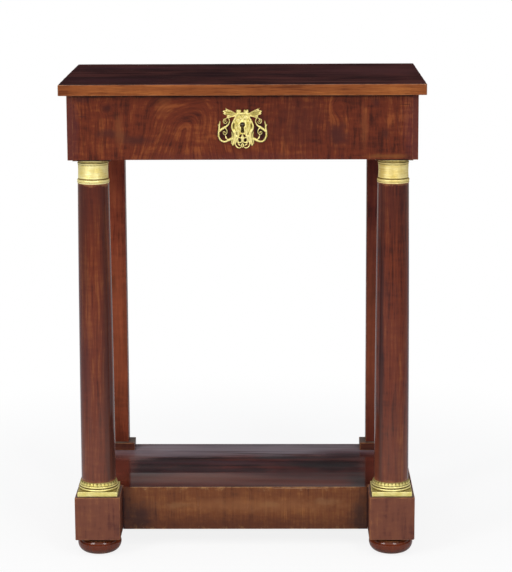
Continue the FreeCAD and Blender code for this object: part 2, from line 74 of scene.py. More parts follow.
def joinShapes(shapes):
    joined = {key: np.concatenate([shape[key] for shape in shapes]) for key in ("points", "edge", "hollow")}
    starts = np.cumsum([0] + [len(shape["points"]) for shape in shapes[:-1]])
    faces = np.concatenate([shape["faces"] + start for shape, start in zip(shapes, starts)])
    return {**joined, "faces": faces}


def closeSheet(top, base, faces, edge, hollow=0.0):
    # The same faces on the top and, turned round, on the base; walls stand on the border, which
    # is every side that only one face has.
    sides = np.concatenate([faces[:, [0, 1]], faces[:, [1, 2]], faces[:, [2, 3]], faces[:, [3, 0]]])
    found, count = np.unique(np.sort(sides, axis=1), axis=0, return_counts=True)
    start, end = found[count == 1].T
    size = top[..., 0].size
    walls = np.stack([start, end, end + size, start + size], axis=-1)
    closed = np.concatenate([faces, faces[:, ::-1] + size, walls])
    return makeShape(np.stack([top, base]), closed, edge, hollow)


def ripple(points, pitch, seed):
    # A soft unevenness between about -1 and 1: six sine waves of nearly the same pitch that
    # run in different directions, added up.
    draw = np.random.default_rng(seed)
    ways = draw.normal(size=(6, points.shape[1]))
    ways /= np.linalg.norm(ways, axis=1, keepdims=True)
    ways *= fullTurn / pitch * draw.uniform(0.6, 1.7, (6, 1))
    return np.sin(points @ ways.T + draw.uniform(0, fullTurn, 6)).sum(axis=1) / 3.5


def edgeLines(low, high, radius, pitch):
    # Grid lines from low to high: close together within a few radii of both ends, then at an
    # even pitch between.
    near = np.array([0, 0.12, 0.35, 0.65, 1, 1.8, 3.2]) * radius
    near = near[near < 0.45 * (high - low)]
    steps = max(2, int(np.ceil((high - low - 2 * near[-1]) / pitch)) + 1)
    middle = np.linspace(low + near[-1], high - near[-1], steps)[1:-1]
    return np.concatenate([low + near, middle, high - near[::-1]])


# Lengths are in millimetres: wear and bow come in waves of their pitch, and the rubbed edge
# is strongest within "cornerReach" of a corner. "wear" is a share of the radius.
boardBasics = {"pitch": 24, "corner": 0, "pocket": None, "wearPitch": 35, "bowPitch": 280, "cornerReach": 20,
               "leastRadius": 0.35, "mostRadius": 2.2}


def boardShape(low, high, board, seed):
    # A block's skin on six grids. Each point moves to the nearest point of the block shrunk by
    # the edge radius, and from there out again by the radius; the radius varies along the
    # edges as hand work and wear leave it, and the faces bow by a fraction of a millimetre.
    # Seen from above, the four corners are rounded by drawing each square ring of their
    # corner squares in to a circle. A pocket in the underside is made by lifting the points
    # inside its border by its depth.
    board = {**boardBasics, **board}
    low, high = np.array(low, float), np.array(high, float)
    radius, corner, pocket = board["radius"] * mm, board["corner"] * mm, board["pocket"]
    lines = [edgeLines(low[axis], high[axis], radius, board["pitch"] * mm) for axis in range(3)]
    if pocket:
        near, step = 0.3 * mm, 0.02 * mm
        pocketSides = [(start * mm, end * mm) for start, end in pocket["sides"]]
        for axis, (start, end) in enumerate(pocketSides):
            border = [start - near, start, start + step, start + near, end - near, end - step, end,
                      end + near]
            lines[axis] = np.unique(np.concatenate([lines[axis], border]))
    skins = []
    for axis in range(3):
        across, along = (axis + 1) % 3, (axis + 2) % 3
        gridAcross, gridAlong = np.meshgrid(lines[across], lines[along], indexing="ij")
        for level in (low[axis], high[axis]):
            skin = np.empty(gridAcross.shape + (3,))
            skin[..., axis], skin[..., across], skin[..., along] = level, gridAcross, gridAlong
            skins.append(makeShape(skin, gridFaces(*gridAcross.shape)))
    shape = joinShapes(skins)
    flat = shape["points"]
    distance = np.sort(np.minimum(flat - low, high - flat), axis=1)
    uneven = 1 + board["wear"] * ripple(flat, board["wearPitch"] * mm, seed)
    softness = radius * np.clip(uneven, board["leastRadius"], board["mostRadius"])
    softness = np.minimum(softness, 0.45 * (high - low).min())[:, None]
    core = np.clip(flat, low + softness, high - softness)
    outward = flat - core
    outward /= np.linalg.norm(outward, axis=1, keepdims=True)
    bow = board["bow"] * mm * (ripple(flat, board["bowPitch"] * mm, seed + 7) - 1)[:, None]
    points = core + outward * (softness + bow)
    if pocket:
        inside = flat[:, 2] < low[2] + 1e-9
        for axis, (start, end) in enumerate(pocketSides):
            inside &= (flat[:, axis] > start + step / 2) & (flat[:, axis] < end - step / 2)
        points[inside, 2] += pocket["depth"] * mm
    if corner:
        middle = np.clip(points[:, :2], low[:2] + corner, high[:2] - corner)
        beyond = points[:, :2] - middle
        length = np.maximum(np.linalg.norm(beyond, axis=1, keepdims=True), 1e-12)
        points[:, :2] = middle + beyond / length * np.abs(beyond).max(axis=1, keepdims=True)
    toCorner = np.exp(-(distance[:, 2] / (board["cornerReach"] * mm)) ** 2)
    edge = np.exp(-(distance[:, 1] / (board["rubbed"] * mm)) ** 2) * (0.7 + 0.3 * toCorner)
    if "darkEnds" in board:  # no rubbing where the ends stand against their neighbours
        toEnd = np.minimum(points[:, 0] - low[0], high[0] - points[:, 0])
        edge = edge * np.clip(toEnd / (board["darkEnds"] * mm) - 0.4, 0, 1)
    return {**shape, "points": points, "edge": edge}


def crispLine(line, near=0.12 * mm):
    # Two more points close to the ends of each long step, so that smooth shading still turns
    # sharply at a corner of the profile.
    step = np.diff(line, axis=0)
    length = np.linalg.norm(step, axis=1)
    isLong = length > near * 4
    along = step[isLong] / length[isLong][:, None] * near
    longPlaces = np.flatnonzero(isLong)
    order = np.concatenate([np.arange(len(line)), longPlaces + 0.25, longPlaces + 0.75])
    merged = np.concatenate([line, line[:-1][isLong] + along, line[1:][isLong] - along])
    return merged[np.argsort(order, kind="stable")]


def pairs(first, second):
    return np.stack([first, second], axis=-1)


def beadLine(radius, low, high, bulge, count=13):
    # Half an ellipse from the lower to the upper height that stands out by the bulge, or is
    # hollowed by it when it is negative.
    turn = np.linspace(0, np.pi, count)
    return pairs(radius + bulge * np.sin(turn), (low + high) / 2 - (high - low) / 2 * np.cos(turn))


def joinProfile(*parts):
    return np.concatenate([np.asarray(part, float) for part in parts]) * mm


# In millimetres: how far up and down radii are compared, the depths at which the masks are
# full, the pitch of the unevenness and the radius at which it has its full amount.
turning = {"compare": 2.2, "deep": 1.6, "proud": 0.7, "ribDeep": 0.8, "unevenPitch": 90, "unevenAt": 30}


def turnedShape(profile, centre, sides=96, ribs=None, uneven=0.0, seed=1):
    # A profile of radius and height carried round an upright axis; ribs adds to the radius as
    # a function of the turn and the height. Highs and hollows are told apart by comparing
    # each radius with those a few millimetres above and below.
    radius, height = crispLine(profile).T
    closeBy = np.abs(height[:, None] - height[None, :]) < turning["compare"] * mm
    biggest = np.where(closeBy, radius[None, :], 0).max(axis=1)
    average = (closeBy * radius[None, :]).sum(axis=1) / closeBy.sum(axis=1)
    hollow = np.clip((biggest - radius) / (turning["deep"] * mm), 0, 1)[:, None]
    edge = np.clip((radius - average) / (turning["proud"] * mm), 0, 1)[:, None]
    turn, radiusGrid = np.meshgrid(np.linspace(0, fullTurn, sides, endpoint=False), radius)
    heightGrid = np.broadcast_to(height[:, None], turn.shape)
    if ribs:
        lift = ribs(turn, heightGrid)
        radiusGrid = radiusGrid + lift
        hollow = np.clip(hollow + np.clip(-lift / (turning["ribDeep"] * mm), 0, 1), 0, 1)
    x, y = centre[0] + radiusGrid * np.cos(turn), centre[1] + radiusGrid * np.sin(turn)
    points = np.stack([x, y, heightGrid], axis=-1)
    if uneven:
        wave = ripple(points.reshape(-1, 3), turning["unevenPitch"] * mm, seed).reshape(turn.shape + (1,))
        grow = 1 + uneven * wave / (turning["unevenAt"] * mm)
        points[..., :2] = centre + (points[..., :2] - centre) * grow
    return makeShape(points, gridFaces(len(radius), sides, closeColumns=True), edge, hollow)


def smoothPath(points, count, closed=False):
    # A curve through all the points: each stretch is a cubic that leaves and arrives along
    # the line between the neighbours. Extra columns, such as widths, are carried along.
    points = np.asarray(points, float)
    if closed:
        padded = np.concatenate([points[-1:], points, points[:2]])
    else:
        padded = np.concatenate([2 * points[:1] - points[1:2], points, 2 * points[-1:] - points[-2:-1]])
    place = np.linspace(0, len(padded) - 3, count, endpoint=not closed)
    index = np.minimum(place.astype(int), len(padded) - 4)
    t = (place - index)[:, None]
    before, start, end, after = (padded[index + shift] for shift in range(4))
    return 0.5 * (2 * start + (end - before) * t + (2 * before - 5 * start + 4 * end - after) * t ** 2
                  + (3 * start - before - 3 * end + after) * t ** 3)


def addObject(name, data):
    added = bpy.data.objects.new(name, data)
    bpy.context.scene.collection.objects.link(added)
    return added


def makePiece(name, shape, finish, body, replaced):
    # The arrays become a mesh: doubles at seams and poles are merged, faces turned outward.
    mesh = bpy.data.meshes.new(name)
    mesh.from_pydata(shape["points"].tolist(), [], shape["faces"].tolist())
    for mask in ("edge", "hollow"):
        layer = mesh.attributes.new(mask, "FLOAT", "POINT")
        layer.data.foreach_set("value", np.ascontiguousarray(shape[mask], dtype=np.float32))
    work = bmesh.new()
    work.from_mesh(mesh)
    bmesh.ops.remove_doubles(work, verts=work.verts, dist=2e-6)
    bmesh.ops.recalc_face_normals(work, faces=work.faces)
    work.to_mesh(mesh)
    work.free()
    mesh.polygons.foreach_set("use_smooth", np.ones(len(mesh.polygons), bool))
    mesh.materials.append(finishes[finish])
    piece = addObject(name, mesh)
    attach(piece, body)
    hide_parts(replaced)


class Wire:
    # An output socket that can be used in a sum: each operation adds one node to its tree.
    def __init__(self, tree, socket):
        self.tree, self.socket = tree, socket

    def calc(self, operation, *others):
        return wire("ShaderNodeMath", dict(enumerate((self, *others))), operation=operation)

    def __add__(self, other):
        return self.calc("ADD", other)

    def __sub__(self, other):
        return self.calc("SUBTRACT", other)

    def __mul__(self, other):
        return self.calc("MULTIPLY", other)

    def __truediv__(self, other):
        return self.calc("DIVIDE", other)

    def vector(self, operation, other=None, output="Vector"):
        inputs = {0: self} if other is None else {0: self, 1: other}
        return wire("ShaderNodeVectorMath", inputs, output, operation=operation)

    def length(self):
        return self.vector("LENGTH", output="Value")

    def parts(self):
        return list(outputsOf(addNode("ShaderNodeSeparateXYZ", {0: self})).values())

    def rise(self, low, high, toLow=0.0, toHigh=1.0):
        # A soft step from toLow to toHigh while the value goes from low to high.
        limits = {0: self, 1: low, 2: high, 3: toLow, 4: toHigh}
        return wire("ShaderNodeMapRange", limits, interpolation_type="SMOOTHSTEP")

    def noise(self, scale, detail=2.0, roughness=0.5, output=0):
        inputs = {"Vector": self, "Scale": scale, "Detail": detail, "Roughness": roughness}
        return wire("ShaderNodeTexNoise", inputs, output)

    def fallOff(self):
        # 1 at 0, and down to nothing with the square of the value.
        return (self * self * -1.0).calc("EXPONENT")


def fillInputs(inputs, values):
    for key, value in values.items():
        if isinstance(value, Wire):
            value.tree.links.new(value.socket, inputs[key])
        else:
            inputs[key].default_value = value


def addNode(kind, inputs, tree=None, **settings):
    # Where no tree is named, the node goes into the tree of the wires that feed it.
    tree = tree or next(value.tree for value in inputs.values() if isinstance(value, Wire))
    node = tree.nodes.new(kind)
    for key, value in settings.items():
        setattr(node, key, value)
    fillInputs(node.inputs, inputs)
    return node


def wire(kind, inputs, output=0, tree=None, **settings):
    node = addNode(kind, inputs, tree, **settings)
    return Wire(node.id_data, node.outputs[output])


def outputsOf(node):
    return {socket.name: Wire(node.id_data, socket) for socket in node.outputs}


def combine(x, y, z):
    return wire("ShaderNodeCombineXYZ", {0: x, 1: y, 2: z})


def mixColours(share, first, second):
    return wire("ShaderNodeMix", {0: share, 6: first, 7: second}, 2, data_type="RGBA")


def colour(red, green, blue):
    # A finish colour given as 0 to 255 values, turned to the linear values that sockets take.
    values = np.array([red, green, blue]) / 255
    linear = np.where(values > 0.04045, ((values + 0.055) / 1.055) ** 2.4, values / 12.92)
    return (*linear.tolist(), 1.0)


def newGroup(name, inputs, outputs):
    # Inputs and outputs are given as the names of each kind of socket.
    tree = bpy.data.node_groups.new(name, "ShaderNodeTree")
    for way, sockets in (("INPUT", inputs), ("OUTPUT", outputs)):
        for kind, labels in sockets.items():
            for label in labels.split():
                tree.interface.new_socket(name=label, in_out=way, socket_type="NodeSocket" + kind)
    return tree, outputsOf(tree.nodes.new("NodeGroupInput")), tree.nodes.new("NodeGroupOutput").inputs


def placeGroup(group, inputs):
    return outputsOf(addNode("ShaderNodeGroup", inputs, node_tree=group))


def buildWoodFigure():
    # Grain along Z: broad streaks, lines, fine fibres and slow patches are added up to one tone
    # that runs from the dark over the middle to the light colour. Ripples lie across the grain,
    # combing draws thin dark lines along it, and pores are short dark dashes.
    tree, given, result = newGroup("woodFigure", {
        "Vector": "Vector", "Color": "Dark Middle Light",
        "Float": "Streaks Stretch Waver Patches Contrast Pores Combing Ripples Fine"},
        {"Color": "Color", "Float": "Tone Height"})
    drift = given["Vector"].noise(7.0, output=1).vector("SUBTRACT", (0.5, 0.5, 0.5))
    wavy = given["Vector"].vector("ADD", drift.vector("MULTIPLY", given["Waver"]))
    drawn = wavy.vector("DIVIDE", combine(1.0, 1.0, given["Stretch"]))
    streaks = drawn.noise(given["Streaks"])
    lines = drawn.noise(given["Streaks"] * 3.2, 2.0, 0.6)
    fibres = drawn.noise(given["Streaks"] * 11.0, 1.0)
    patches = wavy.noise(given["Patches"])
    across = wavy.vector("MULTIPLY", (0.3, 0.3, 1.0)).noise(130.0)
    pores = wavy.vector("MULTIPLY", (1.0, 1.0, 0.05)).noise(900.0, 1.0).rise(0.6, 0.74) * given["Pores"]
    fineTone = (lines * 0.34 + fibres * 0.12 - 0.23) * given["Fine"]
    tone = streaks * 0.26 + patches * 0.28 + fineTone + 0.23 + (across - 0.5) * given["Ripples"]
    tone = (tone - 0.5) * (given["Contrast"] * 4.6) + 0.5
    body = mixColours(tone.rise(0.0, 0.5), given["Dark"], given["Middle"])
    body = mixColours(tone.rise(0.5, 1.0), body, given["Light"])
    combed = drawn.noise(given["Streaks"] * 2.7, 1.0).rise(0.52, 0.66) * given["Combing"]
    body = mixColours(combed * patches.rise(0.35, 0.6), body, given["Dark"])
    poreDark = mixColours(0.6, given["Dark"], (0.01, 0.004, 0.004, 1))
    fillInputs(result, {
        "Color": mixColours(pores, body, poreDark), "Tone": tone, "Height": fibres * 0.35 - pores})
    return tree


def buildCurlGrain():
    # Near its centre the grain turns round a small knot: the sideways place is replaced by the
    # distance from the centre, with a share that falls off with the square of that distance.
    tree, given, result = newGroup("curlGrain", {
        "Vector": "Vector Centre", "Float": "Reach Squash"}, {"Vector": "Vector"})
    x, y, z = given["Vector"].vector("SUBTRACT", given["Centre"]).parts()
    upward = z * given["Squash"]
    away = (x * x + upward * upward).calc("SQRT")
    curled = combine(away, y, z * 0.3).vector("ADD", given["Centre"])
    share = (away / given["Reach"]).fallOff()
    mixed = wire("ShaderNodeMix", {0: share, 4: given["Vector"], 5: curled}, 1, data_type="VECTOR")
    fillInputs(result, {"Vector": mixed})
    return tree


def buildArchedGrain():
    # Grain in nested arches: the sideways place becomes the root of the summed squares of the
    # sideways distance and the height above the centre, which counts more the higher it is.
    # Below the centre the legs spread and lean, and all of it fades out to the sides.
    tree, given, result = newGroup("archedGrain", {
        "Vector": "Vector Centre", "Float": "Reach Squash Lean Spread"}, {"Vector": "Vector"})
    x, y, z = given["Vector"].vector("SUBTRACT", given["Centre"]).parts()
    share = (x / given["Reach"]).fallOff()
    below, above = (z * -1.0).calc("MAXIMUM", 0.0), z.calc("MAXIMUM", 0.0)
    sideways = (x - z * given["Lean"] * share) / (below * given["Spread"] * share + 1.0)
    upward = above * (above * 7.0 + given["Squash"]) * share
    away = (sideways * sideways + upward * upward).calc("SQRT")
    fillInputs(result, {"Vector": combine(away, x * 0.12 + y, z).vector("ADD", given["Centre"])})
    return tree


def buildBlotch():
    # A soft oval patch: its mask falls with the distance in units of its size, and noise makes
    # the border ragged, drawn out by the given scale along each axis.
    tree, given, result = newGroup("blotch", {
        "Vector": "Vector Centre Size Drawn", "Float": "Strength"}, {"Float": "Mask"})
    away = given["Vector"].vector("SUBTRACT", given["Centre"]).vector("DIVIDE", given["Size"]).length()
    ragged = given["Vector"].vector("MULTIPLY", given["Drawn"]).noise(90.0, 3.0) - 0.5
    fillInputs(result, {"Mask": (away + ragged * 1.1).rise(1.25, 0.15) * given["Strength"]})
    return tree


def buildEdgeWear():
    # The rubbed-edge mask of the mesh, broken up by two sizes of noise.
    tree, given, result = newGroup("edgeWear", {"Vector": "Vector", "Float": "Edge Amount"},
                                   {"Float": "Mask"})
    broken = given["Vector"].noise(60.0, 3.0) * 0.7 + given["Vector"].noise(420.0) * 0.3
    reach = given["Edge"] * given["Amount"] + broken
    fillInputs(result, {"Mask": reach.rise(0.72, 1.08) * (given["Edge"] * 3.0).calc("MINIMUM", 1.0)})
    return tree


def buildPolishAge():
    # Old polish: faces that look up hold dust, the shine is cloudy, and a few specks lie in it.
    tree, given, result = newGroup("polishAge", {
        "Vector": "Vector Grain Normal", "Float": "Dust Cloud"}, {"Float": "Dust Cloud Specks"})
    upward = given["Normal"].parts()[2]
    settled = upward.rise(0.5, 0.95) * given["Vector"].noise(26.0, 4.0).rise(0.3, 0.75)
    cloud = given["Grain"].vector("MULTIPLY", (1.0, 1.0, 0.22)).noise(26.0, 3.0, 0.6)
    fillInputs(result, {"Dust": settled * given["Dust"], "Cloud": (cloud - 0.5) * given["Cloud"],
                        "Specks": given["Vector"].noise(330.0, 1.0).rise(0.74, 0.8)})
    return tree


def buildGiltTone():
    # Gilding: bright where rubbed, browner in the hollows and on flat tops (settled dirt and painted
    # shade), with slow drifts of tone and strokes round the turned pieces.
    tree, given, result = newGroup("giltTone", {
        "Vector": "Vector Normal", "Float": "Edge Hollow Settled Drift Brushed", "Color": "Bright Gold Dirt"},
        {"Color": "Color", "Float": "Roughness Height"})
    strokes = given["Vector"].vector("MULTIPLY", (0.08, 0.08, 1.0)).noise(420.0)
    drift = (strokes - 0.5) * given["Brushed"] + given["Vector"].noise(given["Drift"]).rise(0.2, 0.8)
    body = mixColours(drift, given["Gold"], given["Bright"])
    body = mixColours(given["Edge"] * 0.7, body, given["Bright"])
    grimeAndShade = (given["Vector"].noise(300.0) * 0.5 + given["Hollow"]).rise(0.35, 1.1)
    # Flat tops that look up: settled dirt, and painted shade that darkens them.
    grimeAndShade = grimeAndShade.calc("MAXIMUM", given["Normal"].parts()[2].rise(0.93, 0.99) * given["Settled"])
    fillInputs(result, {
        "Color": mixColours(grimeAndShade, body, given["Dirt"]), "Height": given["Vector"].noise(1400.0),
        "Roughness": grimeAndShade * 0.15 + 0.4 + drift * 0.08})
    return tree


woodFigure = buildWoodFigure()
curlGrain = buildCurlGrain()
archedGrain = buildArchedGrain()
blotch = buildBlotch()
edgeWear = buildEdgeWear()
polishAge = buildPolishAge()
giltTone = buildGiltTone()
print("shader groups built")


def newMaterial(name):
    # The material and its shader, with wires for the place, the normal and the mesh's masks.
    material = bpy.data.materials.new(name)
    material.use_nodes = True
    tree = material.node_tree
    tree.nodes.clear()
    shader = wire("ShaderNodeBsdfPrincipled", {}, tree=tree)
    addNode("ShaderNodeOutputMaterial", {0: shader})
    edge, hollow = (wire("ShaderNodeAttribute", {}, "Fac", tree, attribute_name=mask)
                    for mask in ("edge", "hollow"))
    place = wire("ShaderNodeTexCoord", {}, "Object", tree)
    return material, shader, place, wire("ShaderNodeNewGeometry", {}, "Normal", tree), edge, hollow


def bumpFrom(height, strength, distance):
    return wire("ShaderNodeBump", {"Strength": strength, "Distance": distance * mm, "Height": height})


def picked(look, labels):
    # The look's values for a group's inputs; one of three numbers is a colour.
    values = {label: look[label.lower()] for label in labels.split()}
    return {label: colour(*value) if isinstance(value, tuple) else value for label, value in values.items()}


def metres(values):
    return [value / 1000 for value in values]


def woodMaterial(name, look):
    # One wood finish: the figure with its arches and blotches, painted shade on faces that look up,
    # rubbed edges, dust, and a surface of pores and fibres under the polish.
    material, shader, place, normal, edge, _ = newMaterial(name)
    grain = wire("ShaderNodeMapping", {"Vector": place, "Rotation": look.get("turn", (0, 0, 0))})
    for *knot, squash in look.get("curls", ()):
        *centre, reach = metres(knot)
        grain = placeGroup(curlGrain, {
            "Vector": grain, "Centre": centre, "Reach": reach, "Squash": squash})["Vector"]
    for *arch, squash, lean, spread in look.get("arches", ()):
        *centre, reach = metres(arch)
        grain = placeGroup(archedGrain, {
            "Vector": grain, "Centre": centre, "Reach": reach, "Squash": squash, "Lean": lean,
            "Spread": spread})["Vector"]
    figure = placeGroup(woodFigure, {"Vector": grain, **picked(
        look, "Dark Middle Light Streaks Stretch Waver Patches Contrast Pores Combing Ripples Fine")})
    base = figure["Color"]
    # Painted shade: faces that look up take a dark, purplish colour in place of the dark reflection they show.
    if "topShadeDark" in look:
        topShadeTone = figure["Tone"].rise(0.2, 1.0)
        topShadeBase = mixColours(topShadeTone, colour(*look["topShadeDark"]), colour(*look["topShadeLight"]))
        base = mixColours(normal.parts()[2].rise(0.5, 0.9) * look["topShadeShare"], base, topShadeBase)
    for *oval, strength, red, green, blue in look.get("blotches", ()):
        centre, size = np.array(oval).reshape(2, -1) / 1000
        if "plane" in look:
            axis, level, half = look["plane"]
            centre, size = np.insert(centre, axis, level / 1000), np.insert(size, axis, half / 1000)
        mask = placeGroup(blotch, {"Vector": place, "Centre": centre, "Size": size, "Strength": strength,
                                   "Drawn": look["drawn"]})["Mask"]
        base = mixColours(mask, base, colour(red, green, blue))
    age = placeGroup(polishAge, {
        "Vector": place, "Grain": grain, "Normal": normal, **picked(look, "Dust Cloud")})
    worn = placeGroup(edgeWear, {"Edge": edge, "Vector": place, "Amount": look["wear"]})["Mask"]
    base = mixColours(worn * 0.75, base, colour(*look["wornTint"]))
    fillInputs(shader.socket.node.inputs, {
        "Base Color": mixColours(age["Dust"], base, colour(*look["dustTint"])),
        "Roughness": age["Cloud"] + look["roughness"] + worn * 0.12 + age["Dust"] * 0.3,
        "Normal": bumpFrom(figure["Height"] - age["Specks"] * look["specks"], look["bump"], 0.4),
        "Specular IOR Level": look["specular"]})
    return material


def metalMaterial(name, look):
    # One metal finish: the drifting gilt tone with its dirt and a fine grain in the surface.
    material, shader, place, normal, edge, hollow = newMaterial(name)
    tone = placeGroup(giltTone, {"Vector": place, "Normal": normal, "Edge": edge, "Hollow": hollow,
                                 **picked(look, "Settled Drift Brushed Bright Gold Dirt")})
    fillInputs(shader.socket.node.inputs, {
        "Base Color": tone["Color"], "Roughness": tone["Roughness"] + look["duller"],
        "Normal": bumpFrom(tone["Height"], look["bump"], 0.2), "Metallic": look["metallic"]})
    return material


alongX = (0, math.pi / 2, 0)
alongY = (math.pi / 2, 0, 0)

# Colours are 0 to 255. A blotch is its centre x, y, z and half size x, y, z in millimetres, its
# strength, and its red, green and blue. Where a look has a plane, the plane gives an axis with
# the centre and half size on it, and the blotches leave these two out.
mahogany = {
    "dark": (60, 23, 15), "middle": (97, 40, 22), "light": (130, 66, 33),
    "streaks": 75.0, "stretch": 16.0, "waver": 0.012, "patches": 8.0, "contrast": 0.9, "pores": 0.45,
    "combing": 0.15, "ripples": 0.05, "fine": 1.0, "specks": 0.5, "cloud": 0.2, "wear": 0.55,
    "wornTint": (150, 98, 62), "dust": 0.16, "dustTint": (120, 108, 92), "roughness": 0.24, "specular": 0.2,
    "bump": 0.2, "drawn": (1.0, 1.0, 1.0)}
polishedLook = {**mahogany, "turn": alongX, "stretch": 22.0, "dust": 0.02, "roughness": 0.08, "bump": 0.004,
                "specks": 0.0}
topLook = {
    **polishedLook, "streaks": 60.0, "contrast": 1.1,
    "dark": (96, 46, 20), "middle": (130, 70, 33), "light": (152, 88, 42),
    "topShadeDark": (32, 11, 15), "topShadeLight": (86, 43, 40), "topShadeShare": 0.95, "cloud": 0.05,
    "drawn": (0.10, 1.4, 1.0),
    "plane": (2, 884.5, 4),
    # Painted reflection: the pale purplish and the dark patches on the top face stand in for the reflections
    # it shows.
    "blotches": [
        (240, 50, 150, 110, 0.55, 100, 56, 54), (-160, 120, 200, 30, 0.5, 84, 44, 52),
        (20, -20, 240, 40, 0.45, 24, 9, 14), (-230, -120, 120, 50, 0.5, 76, 38, 44),
        (180, -150, 160, 16, 0.6, 104, 60, 54)]}
shelfLook = {
    **polishedLook, "streaks": 40.0, "topShadeDark": (38, 11, 17), "topShadeLight": (90, 37, 34), "topShadeShare": 0.9,
    "specular": 0.24, "cloud": 0.06, "contrast": 1.5, "fine": 0.6, "drawn": (0.12, 1.2, 1.0),
    "plane": (2, 114.5, 4),
    # Painted reflection: these blotches lay the glossy shelf's reflection bands into its colour, above all the
    # pale grey-pink ones at the back.
    "blotches": [
        (0, -80, 600, 50, 0.9, 88, 30, 14), (-120, -54, 170, 31, 0.85, 106, 59, 45),
        (160, -40, 140, 34, 0.85, 62, 26, 24), (146, 40, 100, 46, 0.9, 14, 4, 10),
        (110, 84, 110, 18, 0.7, 24, 8, 20), (-60, 50, 200, 14, 0.6, 80, 36, 46),
        (-160, 78, 120, 14, 0.7, 36, 8, 20), (-120, 0, 160, 12, 0.7, 52, 14, 22),
        (-20, 146, 500, 54, 0.9, 150, 137, 143), (-60, 128, 160, 6, 0.6, 70, 44, 54),
        (-140, 112, 190, 24, 0.65, 146, 126, 132), (-225, 86, 60, 20, 0.6, 132, 102, 100),
        (190, 118, 70, 22, 0.75, 84, 50, 58), (224, -80, 40, 60, 0.9, 30, 8, 8),
        (205, 100, 60, 24, 0.8, 48, 24, 32), (-246, 10, 34, 170, 0.6, 122, 62, 48),
        (250, 10, 30, 170, 0.5, 116, 58, 44)]}
sideLook = {**mahogany, "turn": alongY}
friezeSideLook = {**sideLook, "blotches": [(0, -184, 805, 2000, 6, 2000, 0.8, 86, 41, 36)]}
columnLook = {
    **mahogany, "streaks": 85.0, "stretch": 22.0, "waver": 0.005, "patches": 5.0, "contrast": 0.8,
    "roughness": 0.11, "specular": 0.24, "ripples": 0.12, "bump": 0.06, "specks": 0.2, "dark": (62, 23, 15),
    "middle": (101, 42, 23), "light": (130, 68, 34), "pores": 0.2, "drawn": (1.0, 1.0, 0.08),
    # Painted shade: the dark blotches down the inner sides of both columns, on their outer rims and in the
    # band under the capitals. Painted reflection: the faint pale grey over the lower part.
    "blotches": [
        (-252.5, -163, 420, 12.5, 12.5, 600, 0.7, 58, 26, 22),
        (-244, -156, 200, 10, 16, 160, 0.7, 34, 16, 20), (252, -164, 420, 6, 10, 600, 0.85, 46, 20, 20),
        (-293, -164, 620, 14, 20, 220, 0.6, 60, 26, 22), (-298, -160, 380, 16, 24, 170, 0.6, 70, 31, 30),
        (0, -160, 150, 9000, 9000, 170, 0.22, 124, 88, 74),
        (0, -160, 710, 9000, 9000, 120, 0.45, 58, 25, 25), (-304, -150, 420, 5, 14, 600, 0.55, 78, 38, 42),
        (304, -150, 420, 5, 14, 600, 0.55, 78, 38, 42)]}
blockLook = {
    **mahogany, "streaks": 120.0, "stretch": 10.0, "patches": 24.0, "contrast": 0.85, "dark": (88, 47, 38),
    "middle": (112, 64, 47), "light": (134, 82, 54), "wear": 0.5, "roughness": 0.4, "ripples": 0.16,
    "pores": 0.12, "fine": 0.35, "topShadeDark": (52, 30, 32), "topShadeLight": (64, 38, 36), "topShadeShare": 0.8,
    "dust": 0.05,
    # Painted shade: the two dark blotches on the blocks' inner sides, where they stand beside the plinth.
    "blotches": [
        (-230, -130, 73, 2.6, 58, 70, 1, 40, 18, 18), (230, -130, 73, 2.6, 58, 70, 1, 40, 18, 18)]}
pilasterLook = {
    **mahogany, "dark": (88, 38, 26), "middle": (122, 56, 37), "light": (142, 72, 46),
    "streaks": 60.0, "stretch": 24.0, "drawn": (1.0, 1.0, 0.1), "patches": 22.0, "ripples": 0.14,
    "contrast": 1.0, "roughness": 0.32, "specular": 0.1,
    # Painted shade: the two narrow dark strips on the pilasters' inner side faces.
    "blotches": [
        (-238, 166, 450, 3.6, 30, 600, 0.85, 76, 32, 38), (238, 166, 450, 3.6, 30, 600, 0.7, 60, 24, 28),
        (0, 150, 340, 9000, 9000, 240, 0.35, 146, 80, 50), (0, 150, 730, 9000, 9000, 140, 0.5, 80, 32, 24)]}
pilasterDarkLook = {**pilasterLook, "dark": (62, 28, 25), "middle": (88, 38, 31), "light": (108, 52, 38)}
pilasterBaseLook = {**pilasterLook, "turn": alongX, "dark": (48, 26, 24), "middle": (66, 36, 32),
                    "light": (84, 48, 38), "dust": 0.75, "dustTint": (104, 100, 86)}
footLook = {
    **columnLook, "dark": (62, 18, 4), "middle": (100, 38, 8), "light": (122, 54, 16), "roughness": 0.13,
    "specular": 0.4, "stretch": 6.0, "ripples": 0.02, "contrast": 0.45, "combing": 0.0, "cloud": 0.04,
    "drawn": (1.0, 1.0, 1.0),
    # Painted shade: the dark band at the top, under the block, and the darker band near the floor.
    "blotches": [
        (0, 0, 31.5, 9000, 9000, 6, 1, 20, 8, 7), (0, 0, 5, 9000, 9000, 7, 0.7, 70, 28, 10)]}

